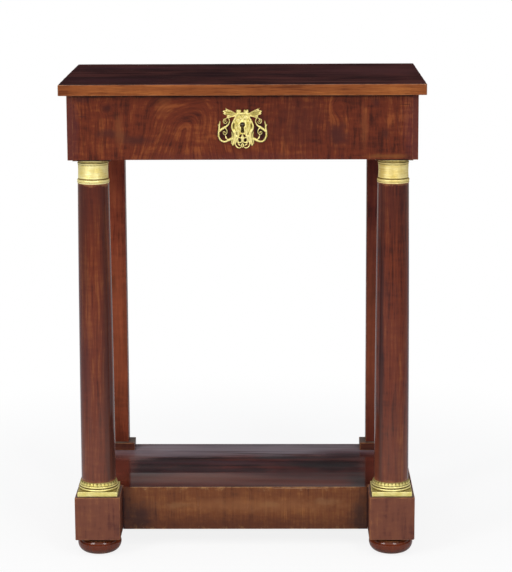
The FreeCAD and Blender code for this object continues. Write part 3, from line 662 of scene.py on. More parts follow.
# A curl is its centre x, y, z and reach in millimetres and its squash; an arch adds its lean
# and the spread of its legs.
drawerVeneerLook = {
    **mahogany, "streaks": 105.0, "stretch": 12.0, "waver": 0.018, "patches": 15.0, "contrast": 0.95,
    "combing": 0.4, "ripples": 0.2, "fine": 0.6, "pores": 0.25,
    "curls": [(176, 0, 842, 14, 1.0), (-245, 0, 842, 10, 1.0)],
    "arches": [(-105.5, 0, 797, 75, 0.55, 0.25, 10.0)],
    "plane": (1, -184, 1000),
    # Painted shadow: the dark blotches round and inside the mount (at 0, ±29 and ±36 across) and the dark
    # strip along the top edge, under the top's overhang.
    "blotches": [
        (-238, 795, 34, 9, 0.75, 66, 30, 25), (-195, 783, 40, 11, 0.75, 64, 30, 25),
        (170, 790, 24, 26, 0.8, 64, 29, 26), (-244, 840.5, 11, 8.5, 0.85, 56, 20, 18),
        (-289, 826, 10, 2.4, 0.6, 52, 22, 24), (240, 852, 9, 11, 0.6, 60, 26, 24),
        (258, 794, 8, 12, 0.6, 58, 28, 24), (-222, 800, 10, 35, 0.35, 138, 80, 44),
        (-140, 846, 16, 22, 0.3, 134, 76, 40), (219, 810, 8, 45, 0.35, 138, 78, 44),
        (-303, 805, 11, 90, 0.6, 74, 34, 36), (302, 805, 16, 90, 0.4, 82, 40, 44),
        (262, 753, 44, 5, 0.45, 134, 84, 40), (-290, 858, 24, 10, 0.6, 66, 30, 30),
        (0, 752, 200, 10, 0.45, 76, 32, 32), (0, 806, 50, 40, 0.6, 64, 26, 20),
        (100, 815, 60, 60, 0.55, 72, 31, 24), (-29, 800, 12, 22, 1, 34, 12, 14),
        (29, 800, 12, 22, 1, 34, 12, 14), (-36, 792.5, 11, 14, 0.9, 38, 14, 15),
        (36, 792.5, 11, 14, 0.9, 38, 14, 15), (0, 780, 16, 10, 1, 30, 12, 10),
        (293.5, 846.5, 12, 0.9, 0.9, 30, 14, 12), (0, 864.2, 2000, 4.4, 0.9, 26, 12, 10)]}
plinthVeneerLook = {
    **mahogany, "streaks": 170.0, "stretch": 26.0, "waver": 0.003, "patches": 9.0, "contrast": 0.6,
    "combing": 0.25, "ripples": 0.26, "fine": 0.8, "pores": 0.2, "wear": 0.66, "wornTint": (186, 144, 92),
    "dark": (70, 36, 20), "middle": (108, 59, 30), "light": (136, 83, 42),
    "plane": (1, -116, 1000),
    # Painted light and shade: the lighter band high up and the darker band low down; painted shade also in the
    # narrow dark strips at both ends, beside the blocks.
    "blotches": [
        (20, 79, 215, 16, 0.5, 140, 90, 54), (0, 36, 400, 24, 0.75, 78, 38, 22),
        (-125, 79, 30, 7, 0.2, 146, 108, 68), (45, 80, 24, 6, 0.2, 150, 110, 68),
        (155, 86, 34, 8, 0.2, 146, 110, 74), (-200, 55, 36, 34, 0.75, 52, 27, 26),
        (-230, 74, 14, 60, 0.6, 60, 34, 30), (-231, 74, 3, 100, 0.8, 34, 18, 26),
        (231, 74, 2.4, 100, 0.8, 34, 18, 24), (218, 58, 22, 50, 0.65, 52, 30, 26),
        (100, 112, 70, 1, 0.6, 170, 130, 96)]}
pineLook = {
    **mahogany, "dark": (150, 112, 66), "middle": (178, 138, 88), "light": (196, 160, 108), "streaks": 90.0,
    "stretch": 26.0, "turn": alongX, "wear": 0.3, "wornTint": (198, 164, 116), "roughness": 0.6,
    "specular": 0.3, "dust": 0.2, "bump": 0.4}
oakLook = {**pineLook, "dark": (122, 86, 50), "middle": (156, 116, 70), "light": (176, 138, 88),
           "turn": alongY, "pores": 0.8, "streaks": 120.0}
ebonisedLook = {**mahogany, "dark": (24, 18, 16), "middle": (34, 24, 20), "light": (44, 32, 26),
                "turn": alongX}

giltLook = {"bright": (252, 240, 166), "gold": (230, 212, 110), "dirt": (104, 82, 14), "metallic": 0.65,
            "duller": 0.0, "settled": 0.75, "drift": 60.0, "brushed": 0.0, "bump": 0.08}
mountLook = {**giltLook, "bright": (253, 238, 162), "gold": (210, 190, 72), "dirt": (96, 76, 12),
             "drift": 260.0}
turnedGiltLook = {**giltLook, "bright": (254, 243, 176), "gold": (240, 219, 130), "dirt": (140, 116, 46),
                  "brushed": 2.4, "metallic": 0.45}
# Painted shade: a darker copy of the turned gilt for the right capital.
shadedGiltLook = {**turnedGiltLook, "bright": (250, 231, 158), "gold": (230, 203, 112)}
brassLook = {"bright": (220.6, 195.7, 139.4), "gold": (195.7, 167.7, 114.5), "dirt": (97.2, 79.9, 56.3),
             "metallic": 1.0, "duller": 0.12, "settled": 0.3, "drift": 60.0, "brushed": 0.6, "bump": 0.2}
steelLook = {**brassLook, "bright": (173.4, 169.6, 165.7), "gold": (148.9, 144.3, 141.9),
             "dirt": (89.0, 74.8, 66.3), "duller": 0.18, "bump": 0.3}

woods = {
    "topMahogany": topLook, "shelfMahogany": shelfLook, "sideMahogany": sideLook,
    "friezeSideMahogany": friezeSideLook, "columnMahogany": columnLook, "blockMahogany": blockLook,
    "pilasterMahogany": pilasterLook, "pilasterDarkMahogany": pilasterDarkLook,
    "pilasterBaseMahogany": pilasterBaseLook, "footMahogany": footLook, "drawerVeneer": drawerVeneerLook,
    "plinthVeneer": plinthVeneerLook, "pineAlongX": pineLook,
    "pineAlongY": {**pineLook, "turn": alongY}, "oakDrawer": oakLook, "ebonisedWood": ebonisedLook}
metals = {"giltBrass": giltLook, "turnedGiltBrass": turnedGiltLook, "shadedGiltBrass": shadedGiltLook,
          "mountGiltBrass": mountLook, "lockBrass": brassLook, "darkSteel": steelLook}
finishes = {name: woodMaterial(name, look) for name, look in woods.items()}
finishes.update({name: metalMaterial(name, look) for name, look in metals.items()})
print("materials built:", len(finishes))


# Edge radius, bow and rubbed width are in millimetres, and wear is a share of the radius. A
# node that ends in an underscore has a left and a right board.
boards = {
    "topBoard": {"node": "top_board", "slot": "mahogany_top", "finish": "topMahogany", "radius": 1.3,
                 "wear": 0.5, "bow": 0.10, "rubbed": 2.2, "corner": 3.0,
                 "pocket": {"sides": ((-10.8, 10.8), (-171.1, -165.5)), "depth": 7.8}},
    "friezeSide": {"node": "frieze_side_", "finish": "friezeSideMahogany", "radius": 0.7, "wear": 0.4,
                   "bow": 0.04, "rubbed": 1.6},
    "baseBlock": {"node": "base_block_", "finish": "blockMahogany", "radius": 2.0, "wear": 0.7, "bow": 0.12,
                  "rubbed": 3.0},
    "plinthVeneer": {"node": "plinth_front_veneer", "slot": "veneer", "finish": "plinthVeneer", "radius": 0.4,
                     "wear": 0.4, "bow": 0.03, "rubbed": 1.6, "darkEnds": 9.0},
    "plinthSide": {"node": "plinth_side_", "finish": "sideMahogany", "radius": 0.8, "wear": 0.5, "bow": 0.05,
                   "rubbed": 2.0},
    "pilasterBase": {"node": "pilaster_base_", "finish": "pilasterBaseMahogany", "radius": 0.9, "wear": 0.5,
                     "bow": 0.04, "rubbed": 2.2},
    "pilaster": {"node": "pilaster_", "finish": "pilasterMahogany", "finishRight": "pilasterDarkMahogany",
                 "radius": 0.9, "wear": 0.5, "bow": 0.06, "rubbed": 1.8},
}

seed = 3
for name, board in boards.items():
    for side in ("Left", "Right") if board["node"].endswith("_") else ("",):
        node = board["node"] + side.lower()
        finish = board.get("finish" + side, board["finish"])
        makePiece(name + side, boardShape(*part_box(node), board, seed), finish, bodyTable,
                  node)
        seed += 11
print("boards built")


# Lengths in millimetres; the bends are curvatures per metre.
shelf = {"notchX": 231.5, "notchY": -99.5, "joint": -20.0, "radius": 1.0, "jointRadius": 0.4, "rubbed": 2.0,
         "pitchX": 30, "pitchY": 5, "backMiddle": 62.0, "slant": 0.09, "backBend": 0.040,
         "frontMiddle": -88.0, "frontBend": 0.10, "fadeAt": 20, "fadeOver": 50, "wave": 0.010,
         "wavePitch": 45}


def notchedBoardShape(low, high, board):
    # A level board on a grid with its front corners left out, made of two boards joined along
    # X. Each one is hollow: its height is half the bend times the squared distance from its own
    # middle line. The front board's bend fades out toward the right.
    notchX, notchY, joint, radius = (board[key] * mm for key in ("notchX", "notchY", "joint", "radius"))
    pitchX, pitchY = board["pitchX"] * mm, board["pitchY"] * mm
    xLines = np.unique(np.concatenate([edgeLines(start, end, radius, pitchX) for start, end in (
        (low.x, -notchX), (-notchX, notchX), (notchX, high.x))]))
    yLines = np.unique(np.concatenate([
        edgeLines(low.y, notchY, radius, pitchY), edgeLines(notchY, joint, board["jointRadius"] * mm, pitchY),
        edgeLines(joint, high.y, radius, pitchY)]))
    x, y = np.meshgrid(xLines, yLines, indexing="ij")
    faces = gridFaces(*x.shape)
    middleX, middleY = (grid.ravel()[faces].mean(axis=1) for grid in (x, y))
    faces = faces[(np.abs(middleX) < notchX) | (middleY > notchY)]
    toSide = np.where(y < notchY - 1e-9, notchX, high.x) - np.abs(x)
    toFront = y - np.where(np.abs(x) > notchX + 1e-9, notchY, low.y)
    toEdge = np.maximum(np.minimum(np.minimum(toSide, toFront), high.y - y), 0)
    drop = radius * (1 - np.sqrt(1 - np.clip(1 - toEdge / radius, 0, 1) ** 2))
    backMiddle = board["backMiddle"] * mm + board["slant"] * x
    back = board["backBend"] / 2 * ((y - backMiddle) ** 2 - (joint - backMiddle) ** 2)
    frontMiddle = board["frontMiddle"] * mm
    fading = 1 / (1 + np.exp((x - board["fadeAt"] * mm) / (board["fadeOver"] * mm)))
    front = board["frontBend"] / 2 * fading * ((y - frontMiddle) ** 2 - (joint - frontMiddle) ** 2)
    lean = x * 5.0 + 1.3 * np.sin(x * 9.0)
    wave = board["wave"] * mm * np.sin(y * fullTurn / (board["wavePitch"] * mm) + lean)
    hollow = np.where(y > joint, back, front) + wave
    top = np.stack([x, y, high.z - drop + hollow - hollow.max()], axis=-1)
    base = np.stack([x, y, low.z + drop * 0.6], axis=-1)
    return closeSheet(top, base, faces, np.exp(-(toEdge / (board["rubbed"] * mm)) ** 2))


makePiece("shelf", notchedBoardShape(*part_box("shelf_board"), shelf), "shelfMahogany", bodyTable,
          "shelf_board")
print("shelf built")


keyhole = {"z": 810.5, "eye": 4.7, "slotTop": 2.2, "slotFoot": 3.3, "drop": 14.0}


def keyholeReach(turn):
    # Distance from the eye's centre to the keyhole's border in each direction: the eye's
    # radius, or where the ray leaves the slot below it, whichever is farther.
    down = np.maximum(-np.sin(turn), 1e-6)
    spread = (keyhole["slotFoot"] - keyhole["slotTop"]) / keyhole["drop"]
    side = keyhole["slotTop"] / np.maximum(np.abs(np.cos(turn)) - spread * down, 1e-3)
    slot = np.where(np.sin(turn) < 0, np.minimum(keyhole["drop"] / down, side), 0)
    return np.maximum(keyhole["eye"], slot)


def boxReach(turn, right, up, down):
    # Distance from the keyhole's centre to the border of a rectangle in each direction.
    across = right / np.maximum(np.abs(np.cos(turn)), 1e-9)
    upward = np.where(np.sin(turn) > 0, up, down) / np.maximum(np.abs(np.sin(turn)), 1e-9)
    return np.minimum(across, upward)


def onFace(x, z, raised, faceY):
    # Places across and up from the keyhole's eye and out from the face, in millimetres.
    return np.stack(np.broadcast_arrays(x * mm, faceY - raised * mm, (keyhole["z"] + z) * mm), axis=-1)


def ringSheet(inner, outer, turn, rows, faceY):
    # A sheet with a hole: each row lies a share of the way from the inner to the outer border,
    # inset and raised as the row says; the rows close round the sheet's thickness.
    share, inset, raised = np.array(rows, float).T[:, :, None]
    reach = inner + (outer - inner) * share - inset
    faces = gridFaces(len(rows), len(turn), closeRows=True, closeColumns=True)
    return onFace(reach * np.cos(turn), reach * np.sin(turn), raised, faceY), faces


# Rows of share, inset and height, from the keyhole's wall over the face and round to the back.
drawerVeneer = {"turns": 320, "edgeInset": 1, "rubbed": 0.8,
                "rows": [(0, 0, -1.2), (0, 0, -0.3), (0, -0.3, 0), (0.02, 0, 0), (0.08, 0, 0), (0.2, 0, 0),
                         (0.4, 0, 0), (0.6, 0, 0), (0.8, 0, 0), (0.93, 0, 0), (1, 1.6, 0), (1, 0.45, 0),
                         (1, 0.12, -0.12), (1, 0, -0.45), (1, 0, -1.2), (0.5, 0, -1.2)]}
low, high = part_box("drawer_front_veneer")
right, up, down = high.x / mm, high.z / mm - keyhole["z"], keyhole["z"] - low.z / mm
upTurn, downTurn = math.atan2(up, right), math.atan2(down, right)
cornerTurns = [upTurn, math.pi - upTurn, math.pi + downTurn, fullTurn - downTurn]
evenTurns = np.linspace(0, fullTurn, drawerVeneer["turns"], endpoint=False)
turn = np.unique(np.concatenate([evenTurns, cornerTurns]))
outer = boxReach(turn, right, up, down)
sheet, faces = ringSheet(keyholeReach(turn), outer, turn, drawerVeneer["rows"], low.y)
share, inset, _ = np.array(drawerVeneer["rows"]).T[:, :, None]
rub = ((share >= 1) & (inset < drawerVeneer["edgeInset"])) * drawerVeneer["rubbed"]
makePiece("drawerVeneer", makeShape(sheet, faces, rub), "drawerVeneer", bodyDrawer,
          "drawer_front_veneer")
print("drawer veneer built")


def rodShape(path, count, faceY, soiled=0.0, around=10):
    # A half-round strip swept along a flat curve on the drawer's face: across it a cosine,
    # outward a sine that stays flat underneath. The ends close to a point. The path gives
    # places across and up, half width and height.
    line = smoothPath(path, count)
    ahead = np.gradient(line[:, :2], axis=0)
    ahead /= np.linalg.norm(ahead, axis=1, keepdims=True)
    width, height = np.maximum(line[:, 2:], (0.05, 0.1)).T[:, :, None]
    width[[0, -1]] = 0
    turn = np.linspace(0, fullTurn, around, endpoint=False)
    across = width * np.cos(turn)
    outward = height * np.maximum(np.sin(turn), -0.02)
    outward[[0, -1]] = height[[0, -1]] * 0.3
    points = onFace(line[:, :1] - ahead[:, 1:] * across, line[:, 1:2] + ahead[:, :1] * across, outward, faceY)
    # Painted shade on the flanks and, besides the rubbing, a painted highlight on the crest: the hollow mask
    # grows toward the sides and the edge mask toward the top.
    hollow = np.maximum(np.sqrt(1 - np.maximum(np.sin(turn), 0)) * 0.9, soiled)
    edge = np.clip(np.sin(turn), 0, 1) ** 3
    return makeShape(points, gridFaces(count, around, closeColumns=True), edge, hollow)


def mirrored(shape):
    # The other half: the same shape with its sideways places reversed and its faces turned round.
    return {**shape, "points": shape["points"] * (-1.0, 1.0, 1.0), "faces": shape["faces"][:, ::-1]}


def domeShape(x, z, halfX, halfZ, height, squareness, faceY):
    # A rounded boss: rings from the rim to the middle rise as a quarter circle, and the foot
    # closes to its centre. The power on the sine and cosine makes the rings squarer when it is small.
    rising = np.linspace(0, np.pi / 2, 9)
    turn = np.linspace(0, fullTurn, 24, endpoint=False)
    reach, outward, hollow = (np.concatenate([[start], wave(rising)])[:, None] for start, wave in (
        (0, np.cos), (0, np.sin), (1, np.cos)))
    cosine, sine = (np.sign(wave) * np.abs(wave) ** squareness for wave in (np.cos(turn), np.sin(turn)))
    points = onFace(x + halfX * reach * cosine, z + halfZ * reach * sine, height * outward, faceY)
    return makeShape(points, gridFaces(len(reach), len(turn), closeColumns=True), 1 - hollow, hollow * 0.6)


def fanShape(fan, faceY):
    # A leaf between a lower and an upper curve. Its far end reaches as far as the tips say at
    # each share of the way across; ridges run to the tips, and the border is raised.
    along, across = np.linspace(0, 1, 30)[:, None], np.linspace(0, 1, 49)
    curves = [smoothPath(fan[side], len(along)) for side in ("lower", "upper")]
    stretch = np.interp(across, *np.array(fan["tips"]).T)
    place = along * stretch ** np.minimum(3 * along, 1) * (len(along) - 1)
    index = np.minimum(place.astype(int), len(along) - 2)
    part = (place - index)[..., None]
    low, high = (curve[index] * (1 - part) + curve[index + 1] * part for curve in curves)
    x, z = np.moveaxis(low * (1 - across[:, None]) + high * across[:, None], -1, 0)
    toBorder = np.minimum(np.minimum(across, 1 - across) * (0.5 + along) * 12, (1 - along) * 20)
    border = np.exp(-((toBorder - 1.0) / 0.9) ** 2)
    ridge = 0.5 + 0.5 * np.cos(fullTurn * fan["ridges"] * across)
    relief = np.maximum(border, ridge * 0.6 * along) - 0.6
    lift = fan["height"] * np.sqrt(np.clip(toBorder, 0, 1)) + fan["relief"] * relief
    lift = np.maximum(lift, 0.2) * np.where(toBorder > 0, 1, 0.5)
    hollow = np.clip(0.75 - border - ridge * 0.35, 0, 0.55) * np.minimum(along * 4, 1)
    return closeSheet(onFace(x, z, lift, faceY), onFace(x, z, 0, faceY), gridFaces(*x.shape), border, hollow)


# In millimetres from the keyhole's eye. A rod or line is a path of places across and up with
# half width and height, and its count of steps. A dome is its place, half width, half height,
# rise and squareness.
escutcheon = {
    "bodyOutline": [(0, 22.0), (7, 22.6), (11.8, 20.0), (13.8, 14.0), (17.0, 7.8), (19.4, 2.6), (20.6, -3.2),
                    (19.4, -9.0), (16.8, -14.0), (14.8, -19.4), (10.4, -22.0), (6.0, -19.0), (3.2, -16.9)],
    "bodyRows": [(0, 0, 0), (0, 0, 1.5), (0, -0.25, 2.2), (0.07, 0, 2.4), (0.15, 0, 2.2), (0.22, 0, 1.7),
                 (0.30, 0, 1.6), (0.40, 0, 1.8), (0.50, 0, 1.9), (0.60, 0, 1.7), (0.68, 0, 1.3),
                 (0.74, 0, 1.1), (0.79, 0, 1.3), (0.84, 0, 2.0), (0.88, 0, 2.4), (0.93, 0, 2.5),
                 (0.97, 0, 2.1), (1.0, 0, 1.3), (1.0, 0, 0), (0.5, 0, 0)],
    "hollowLevel": -1.0, "hollowReach": 6.5, "feather": 0.09, "turns": 200, "outlineSteps": 900,
    "fan": {"lower": [(11.0, 15.2), (17.0, 14.4), (24.0, 12.8), (36.0, 11.6)],
            "upper": [(10.0, 20.4), (18.0, 24.8), (25.0, 28.0), (36.0, 32.4)],
            "tips": [(0, 0.74), (0.08, 0.78), (0.20, 0.80), (0.27, 0.75), (0.36, 0.92), (0.46, 0.97),
                     (0.53, 0.91), (0.62, 0.99), (0.72, 0.94), (0.78, 0.84), (0.90, 0.82), (1.0, 0.86)],
            "ridges": 4.0, "height": 1.4, "relief": 1.0},
    "rods": [
        # the big scroll with its leaf tip, and the stem that runs from the upper volute into it
        ([(40.2, 7.6, 0.3, 0.7), (40.6, 3.2, 1, 1.2), (41.6, -2, 1.6, 1.6), (42, -7.5, 2, 1.8),
          (42.8, -13.5, 2, 1.9), (42.6, -19.8, 1.9, 1.9), (40.2, -26.2, 1.8, 1.8), (35.6, -29.8, 1.7, 1.7),
          (30.4, -30, 1.9, 1.7), (25.2, -27.6, 2.5, 1.9), (20, -25.2, 3, 1.9), (16, -24.6, 2, 1.4)], 90),
        ([(31.4, 7.2, 1.2, 1.9), (29.9, 6.4, 0.7, 1.2), (29.6, 8.6, 0.7, 1.3), (31.6, 10.4, 0.8, 1.3),
          (34, 9, 0.85, 1.3), (34.3, 5.6, 0.85, 1.3), (31.9, 2.9, 0.85, 1.3), (28.6, 3.4, 0.8, 1.3),
          (27.3, 6.2, 0.6, 1.1)], 60),
        ([(27, 13.4, 1, 1.3), (24.4, 10.6, 0.9, 1.4), (23.4, 6.4, 1.1, 1.5), (24.9, 1.6, 1.3, 1.6),
          (28.6, -2.4, 1.9, 1.8), (33.6, -5.4, 2.5, 1.9), (38, -8.4, 2.4, 1.8),
          (41.8, -12.4, 1.4, 1.6)], 70),
        ([(27, 12.9, 0.9, 1.3), (29.4, 11.7, 0.8, 1.3), (31.8, 10.5, 0.8, 1.3)], 16),
        # the inner curl with its bud
        ([(31.5, -13.4, 1.1, 1.7), (32.5, -11.7, 0.7, 1.3), (34.5, -12.6, 0.8, 1.3),
          (34.6, -15.6, 0.8, 1.3), (31.8, -17.3, 0.85, 1.4), (28.5, -15.6, 0.85, 1.4),
          (27.7, -11.6, 0.9, 1.4), (29.3, -7.5, 1.1, 1.5), (32, -5.4, 1, 1.4)], 70),
        ([(31.6, -17.8, 0.6, 1.1), (30.4, -20.4, 0.9, 1.3), (29.6, -23, 1.9, 2), (27.8, -25.4, 1.3, 1.5),
          (25.4, -26.8, 0.9, 1.3)], 36),
        # barbs of the leaf tip
        ([(42.8, -2.4, 0.8, 1.2), (43.6, -0.2, 0.7, 1), (43.4, 1.8, 0.3, 0.7)], 16),
        # legs of the body, their drips and the inner strut
        ([(15.4, -7, 1, 2), (14.4, -13, 3.2, 2.7), (13.4, -19, 4.2, 2.7), (14, -25, 4.6, 2.3),
          (15.8, -31, 3.2, 1.9), (17.6, -35.2, 2, 1.7), (17.2, -37.6, 1.2, 1.2)], 60),
        ([(19.4, -12, 0.6, 1.4), (18.4, -18, 1.2, 1.9), (18.6, -24, 1.4, 1.9), (19.6, -30, 1.2, 1.7),
          (20, -34.6, 1, 1.3)], 40),
        ([(7, -3, 0.8, 2.4), (7, -9, 1.5, 2.8), (7.2, -15.4, 2.1, 2.7), (8, -21.5, 2.7, 2.2),
          (10.2, -27, 2.2, 1.8), (13, -31.6, 1.8, 1.6), (13.8, -35.6, 1.2, 1.4)], 54),
        ([(0.5, -15.4, 2.4, 1.6), (0.3, -18.4, 1.5, 1.9), (0.3, -21.2, 2.2, 2), (0.8, -23.6, 3.6, 2.1),
          (0.6, -26.4, 2.4, 2), (0.5, -29, 2.4, 1.9), (0.6, -31.6, 3.2, 1.8)], 50),
        ([(0.5, -23.4, 1, 1.6), (4.6, -23.2, 1.2, 1.9), (8.6, -21.6, 1.6, 2)], 24),
        ([(8.4, -24, 1.6, 1.9), (8.6, -27.4, 1.5, 2), (7.4, -30.6, 1.3, 1.8), (4.8, -32.2, 1.2, 1.7)], 28),
        # foot rings, the bow that joins them and the stem between
        ([(2.6, -39.8, 0.9, 1.4), (5.6, -41.6, 1.2, 1.6), (9.4, -40.6, 1.3, 1.7), (12.2, -37, 1.3, 1.7),
          (12.9, -32.6, 1.3, 1.7), (11.8, -28.4, 1.3, 1.6), (9.8, -25.4, 0.9, 1.3)], 60),
        ([(12.4, -28.8, 1, 1.5), (9.4, -31, 1.2, 1.7), (6, -32.4, 1.2, 1.8), (2.8, -31.4, 1.1, 1.8),
          (0, -29.8, 0.8, 1.5)], 36),
        ([(0, -32.4, 0.8, 1.1), (1.2, -35.4, 1.3, 1.5), (1.6, -38.4, 1.7, 1.7), (0, -40.6, 1, 1.2)], 24),
        ([(3.4, -37.4, 0.8, 1.1), (5.6, -36.2, 1.4, 1.6), (7.6, -34.6, 1.2, 1.5),
          (8, -32.6, 0.8, 1.2)], 22),
    ],
    # engraved lines filled with dirt: the crossing neck lines and the feathering on the body
    "lines": [
        ([(10.8, 16.4, 0.5, 1), (6.2, 12.2, 0.5, 1.8), (2, 7.6, 0.5, 2.2)], 24),
        ([(5.4, 19.6, 0.4, 1), (2.8, 16.2, 0.5, 1.9), (0.3, 12.6, 0.5, 2.3)], 20),
        ([(13.6, 3.6, 0.7, 1.7), (14.6, -0.6, 1, 1.6), (13.4, -4.6, 0.7, 1.7)], 20),
        ([(8.6, 6.6, 0.3, 1.9), (10.2, 2.2, 0.4, 2.1), (10.4, -3, 0.4, 2.1)], 20),
        ([(9.2, -8.6, 0.3, 2), (10.6, -12.6, 0.5, 2), (10.4, -18, 0.4, 2)], 20),
        ([(15.2, -11.6, 0.4, 2), (14.4, -17.6, 0.5, 2.2), (15, -25.6, 0.5, 2.2)], 20),
    ],
    "domes": [(6.6, 23.0, 4.9, 4.6, 2.4, 0.4), (4.2, 24.8, 2.2, 3.0, 2.9, 0.7),
              (9.0, 24.8, 2.2, 3.0, 2.9, 0.7), (14.0, 4.6, 2.2, 3.4, 2.6, 1.0),
              (13.2, 11.0, 2.0, 2.8, 2.5, 1.0), (0, 20.4, 4.4, 2.6, 2.8, 0.7),
              (17.2, -35.6, 2.2, 2.2, 2.0, 1.0), (31.4, 7.2, 1.5, 1.5, 2.3, 1.0),
              (31.5, -13.6, 1.4, 1.4, 2.1, 1.0), (20.6, -25.0, 2.6, 2.2, 2.3, 1.0)],
}

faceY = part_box("escutcheon")[1].y
turn = np.linspace(0, fullTurn, escutcheon["turns"], endpoint=False)
half = np.array(escutcheon["bodyOutline"], float)
outline = smoothPath(np.concatenate([half, half[:0:-1] * (-1, 1)]), escutcheon["outlineSteps"], True)
outlineTurn = np.unwrap(np.arctan2(outline[:, 1], outline[:, 0]))
order = np.argsort(outlineTurn)
bodyReach = np.interp(turn, outlineTurn[order], np.linalg.norm(outline, axis=1)[order], period=fullTurn)
body, faces = ringSheet(keyholeReach(turn), bodyReach, turn, escutcheon["bodyRows"], faceY)
share, _, height = np.array(escutcheon["bodyRows"], float).T[:, :, None]
feather = np.cos(13 * turn + 9 * share) + np.cos(7 * turn - 14 * share + 1)
body[..., 1] -= escutcheon["feather"] * mm * feather * (height > 1.3)
fromLevel = body[..., 2] / mm - keyhole["z"] - escutcheon["hollowLevel"]
atSide = np.exp(-(fromLevel / escutcheon["hollowReach"]) ** 2)
bodyHollow = np.clip((2.0 - height) / 0.8, 0, 1) * (0.36 + 0.5 * atSide)
halfShapes = [rodShape(path, count, faceY) for path, count in escutcheon["rods"]]
halfShapes += [rodShape(path, count, faceY, soiled=1.0) for path, count in escutcheon["lines"]]
halfShapes += [domeShape(*dome, faceY) for dome in escutcheon["domes"]]
halfShapes.append(fanShape(escutcheon["fan"], faceY))
bodyShape = makeShape(body, faces, np.clip((height - 2.0) / 0.4, 0, 1), bodyHollow)
makePiece("escutcheon", joinShapes([bodyShape, *halfShapes, *map(mirrored, halfShapes)]), "mountGiltBrass",
          bodyDrawer, "escutcheon")
print("escutcheon built")


# Profiles of the turned pieces are in millimetres of radius and height. A bead is given by
# radius, lower and upper height, bulge and steps.
capital = {"foot": [(0, 700.5), (28.9, 700.5)], "fillet": (29.0, 700.6, 702.4, 0.25, 7),
           "cushion": (28.0, 702.6, 707.8, 1.4, 15), "groove": [(27.2, 708.0), (27.0, 709.0)],
           "drum": {"radius": 27.8, "low": 709.4, "high": 735.8, "hollow": 0.4, "lineDepth": 0.24,
                    "lines": 8},
           "bead": (28.0, 735.9, 738.0, 0.6, 9), "upperGroove": [(27.3, 738.1), (27.3, 739.3)],
           "lip": {"radius": 27.8, "low": 739.5, "tall": 3.4, "flare": 1.5},
           "rim": (29.1, 743.0, 743.9, 0.2, 7), "top": [(0, 744.0)]}


def capitalProfile():
    # From below: a fillet and a cushion ring, a groove, the hollowed drum with its fine turned
    # lines, a bead, a second groove and the lip, which flares with the square of the height.
    drum, lip = capital["drum"], capital["lip"]
    share, rising = np.linspace(0, 1, 150), np.linspace(0, 1, 10)
    line = drum["lineDepth"] * (0.5 + 0.5 * np.cos(fullTurn * share * drum["lines"])) ** 4
    drumRadius = drum["radius"] - drum["hollow"] * np.sin(np.pi * share) - line
    drumHeight = drum["low"] + (drum["high"] - drum["low"]) * share
    lipLine = pairs(lip["radius"] + lip["flare"] * rising ** 2, lip["low"] + lip["tall"] * rising)
    return joinProfile(
        capital["foot"], beadLine(*capital["fillet"]), beadLine(*capital["cushion"]), capital["groove"],
        pairs(drumRadius, drumHeight), beadLine(*capital["bead"]), capital["upperGroove"], lipLine,
        beadLine(*capital["rim"]), capital["top"])


rings = {"foot": [(0, 123.5), (34.2, 123.5)], "torus": (34.4, 123.6, 128.0, 2.3, 17),
         "fillet": [(34.4, 128.1), (34.3, 129.0)], "bead": (34.3, 129.1, 132.4, 1.4, 15),
         "step": [(34.2, 132.5)],
         "flare": {"radius": 34.9, "narrows": 1.9, "bulge": 0.5, "low": 132.6, "tall": 6.4},
         "rim": (33.0, 139.0, 139.5, 0.1, 5), "top": [(0, 139.5)], "leaves": 30, "leafDepth": 0.55}


def ringsProfile():
    # From below: the broad torus, a fillet, the bright bead and the leafy flare.
    flare, share = rings["flare"], np.linspace(0, 1, 22)
    radius = flare["radius"] - flare["narrows"] * share + flare["bulge"] * np.sin(np.pi * share)
    return joinProfile(
        rings["foot"], beadLine(*rings["torus"]), rings["fillet"], beadLine(*rings["bead"]), rings["step"],
        pairs(radius, flare["low"] + flare["tall"] * share), beadLine(*rings["rim"]), rings["top"])


def leafRibs(turn, height):
    # Upright tongues on the flare: rounded ridges that narrow toward their tops, with a fine
    # groove between neighbours.
    share = np.clip((height / mm - rings["flare"]["low"]) / rings["flare"]["tall"], 0, 1)
    wave = np.abs(np.cos(turn * rings["leaves"] / 2)) ** 0.7
    return rings["leafDepth"] * mm * (wave - 0.75) * np.sin(np.pi * share) ** 0.5


shaft = {"low": 139.5, "high": 700.5, "footRadius": 32.0, "topRadius": 28.6, "swell": 0.7, "pinRadius": 14.0,
         "pinLow": 84.6, "pinHigh": 762.4, "uneven": 0.05}


def shaftProfile():
    # A straight taper with a slight swell in the middle, and hidden pins at both ends.
    footRadius, topRadius, pin = shaft["footRadius"], shaft["topRadius"], shaft["pinRadius"]
    share = np.linspace(0, 1, 60)
    radius = footRadius + (topRadius - footRadius) * share + shaft["swell"] * np.sin(np.pi * share)
    return joinProfile([(0, shaft["pinLow"]), (pin, shaft["pinLow"]), (pin, 139.2), (footRadius, 139.3)],
                       pairs(radius, shaft["low"] + (shaft["high"] - shaft["low"]) * share),
                       [(topRadius, 700.8), (pin, 700.9), (pin, shaft["pinHigh"]), (0, shaft["pinHigh"])])


foot = {"land": 22.0, "belly": 40.8, "bellyHeight": 18.5, "shoulder": 33.5, "shoulderHeight": 29.5,
        "collar": 34.5, "topRadius": 33.8, "top": 32.0, "dowelRadius": 9, "dowelTop": 56.0, "uneven": 0.04}


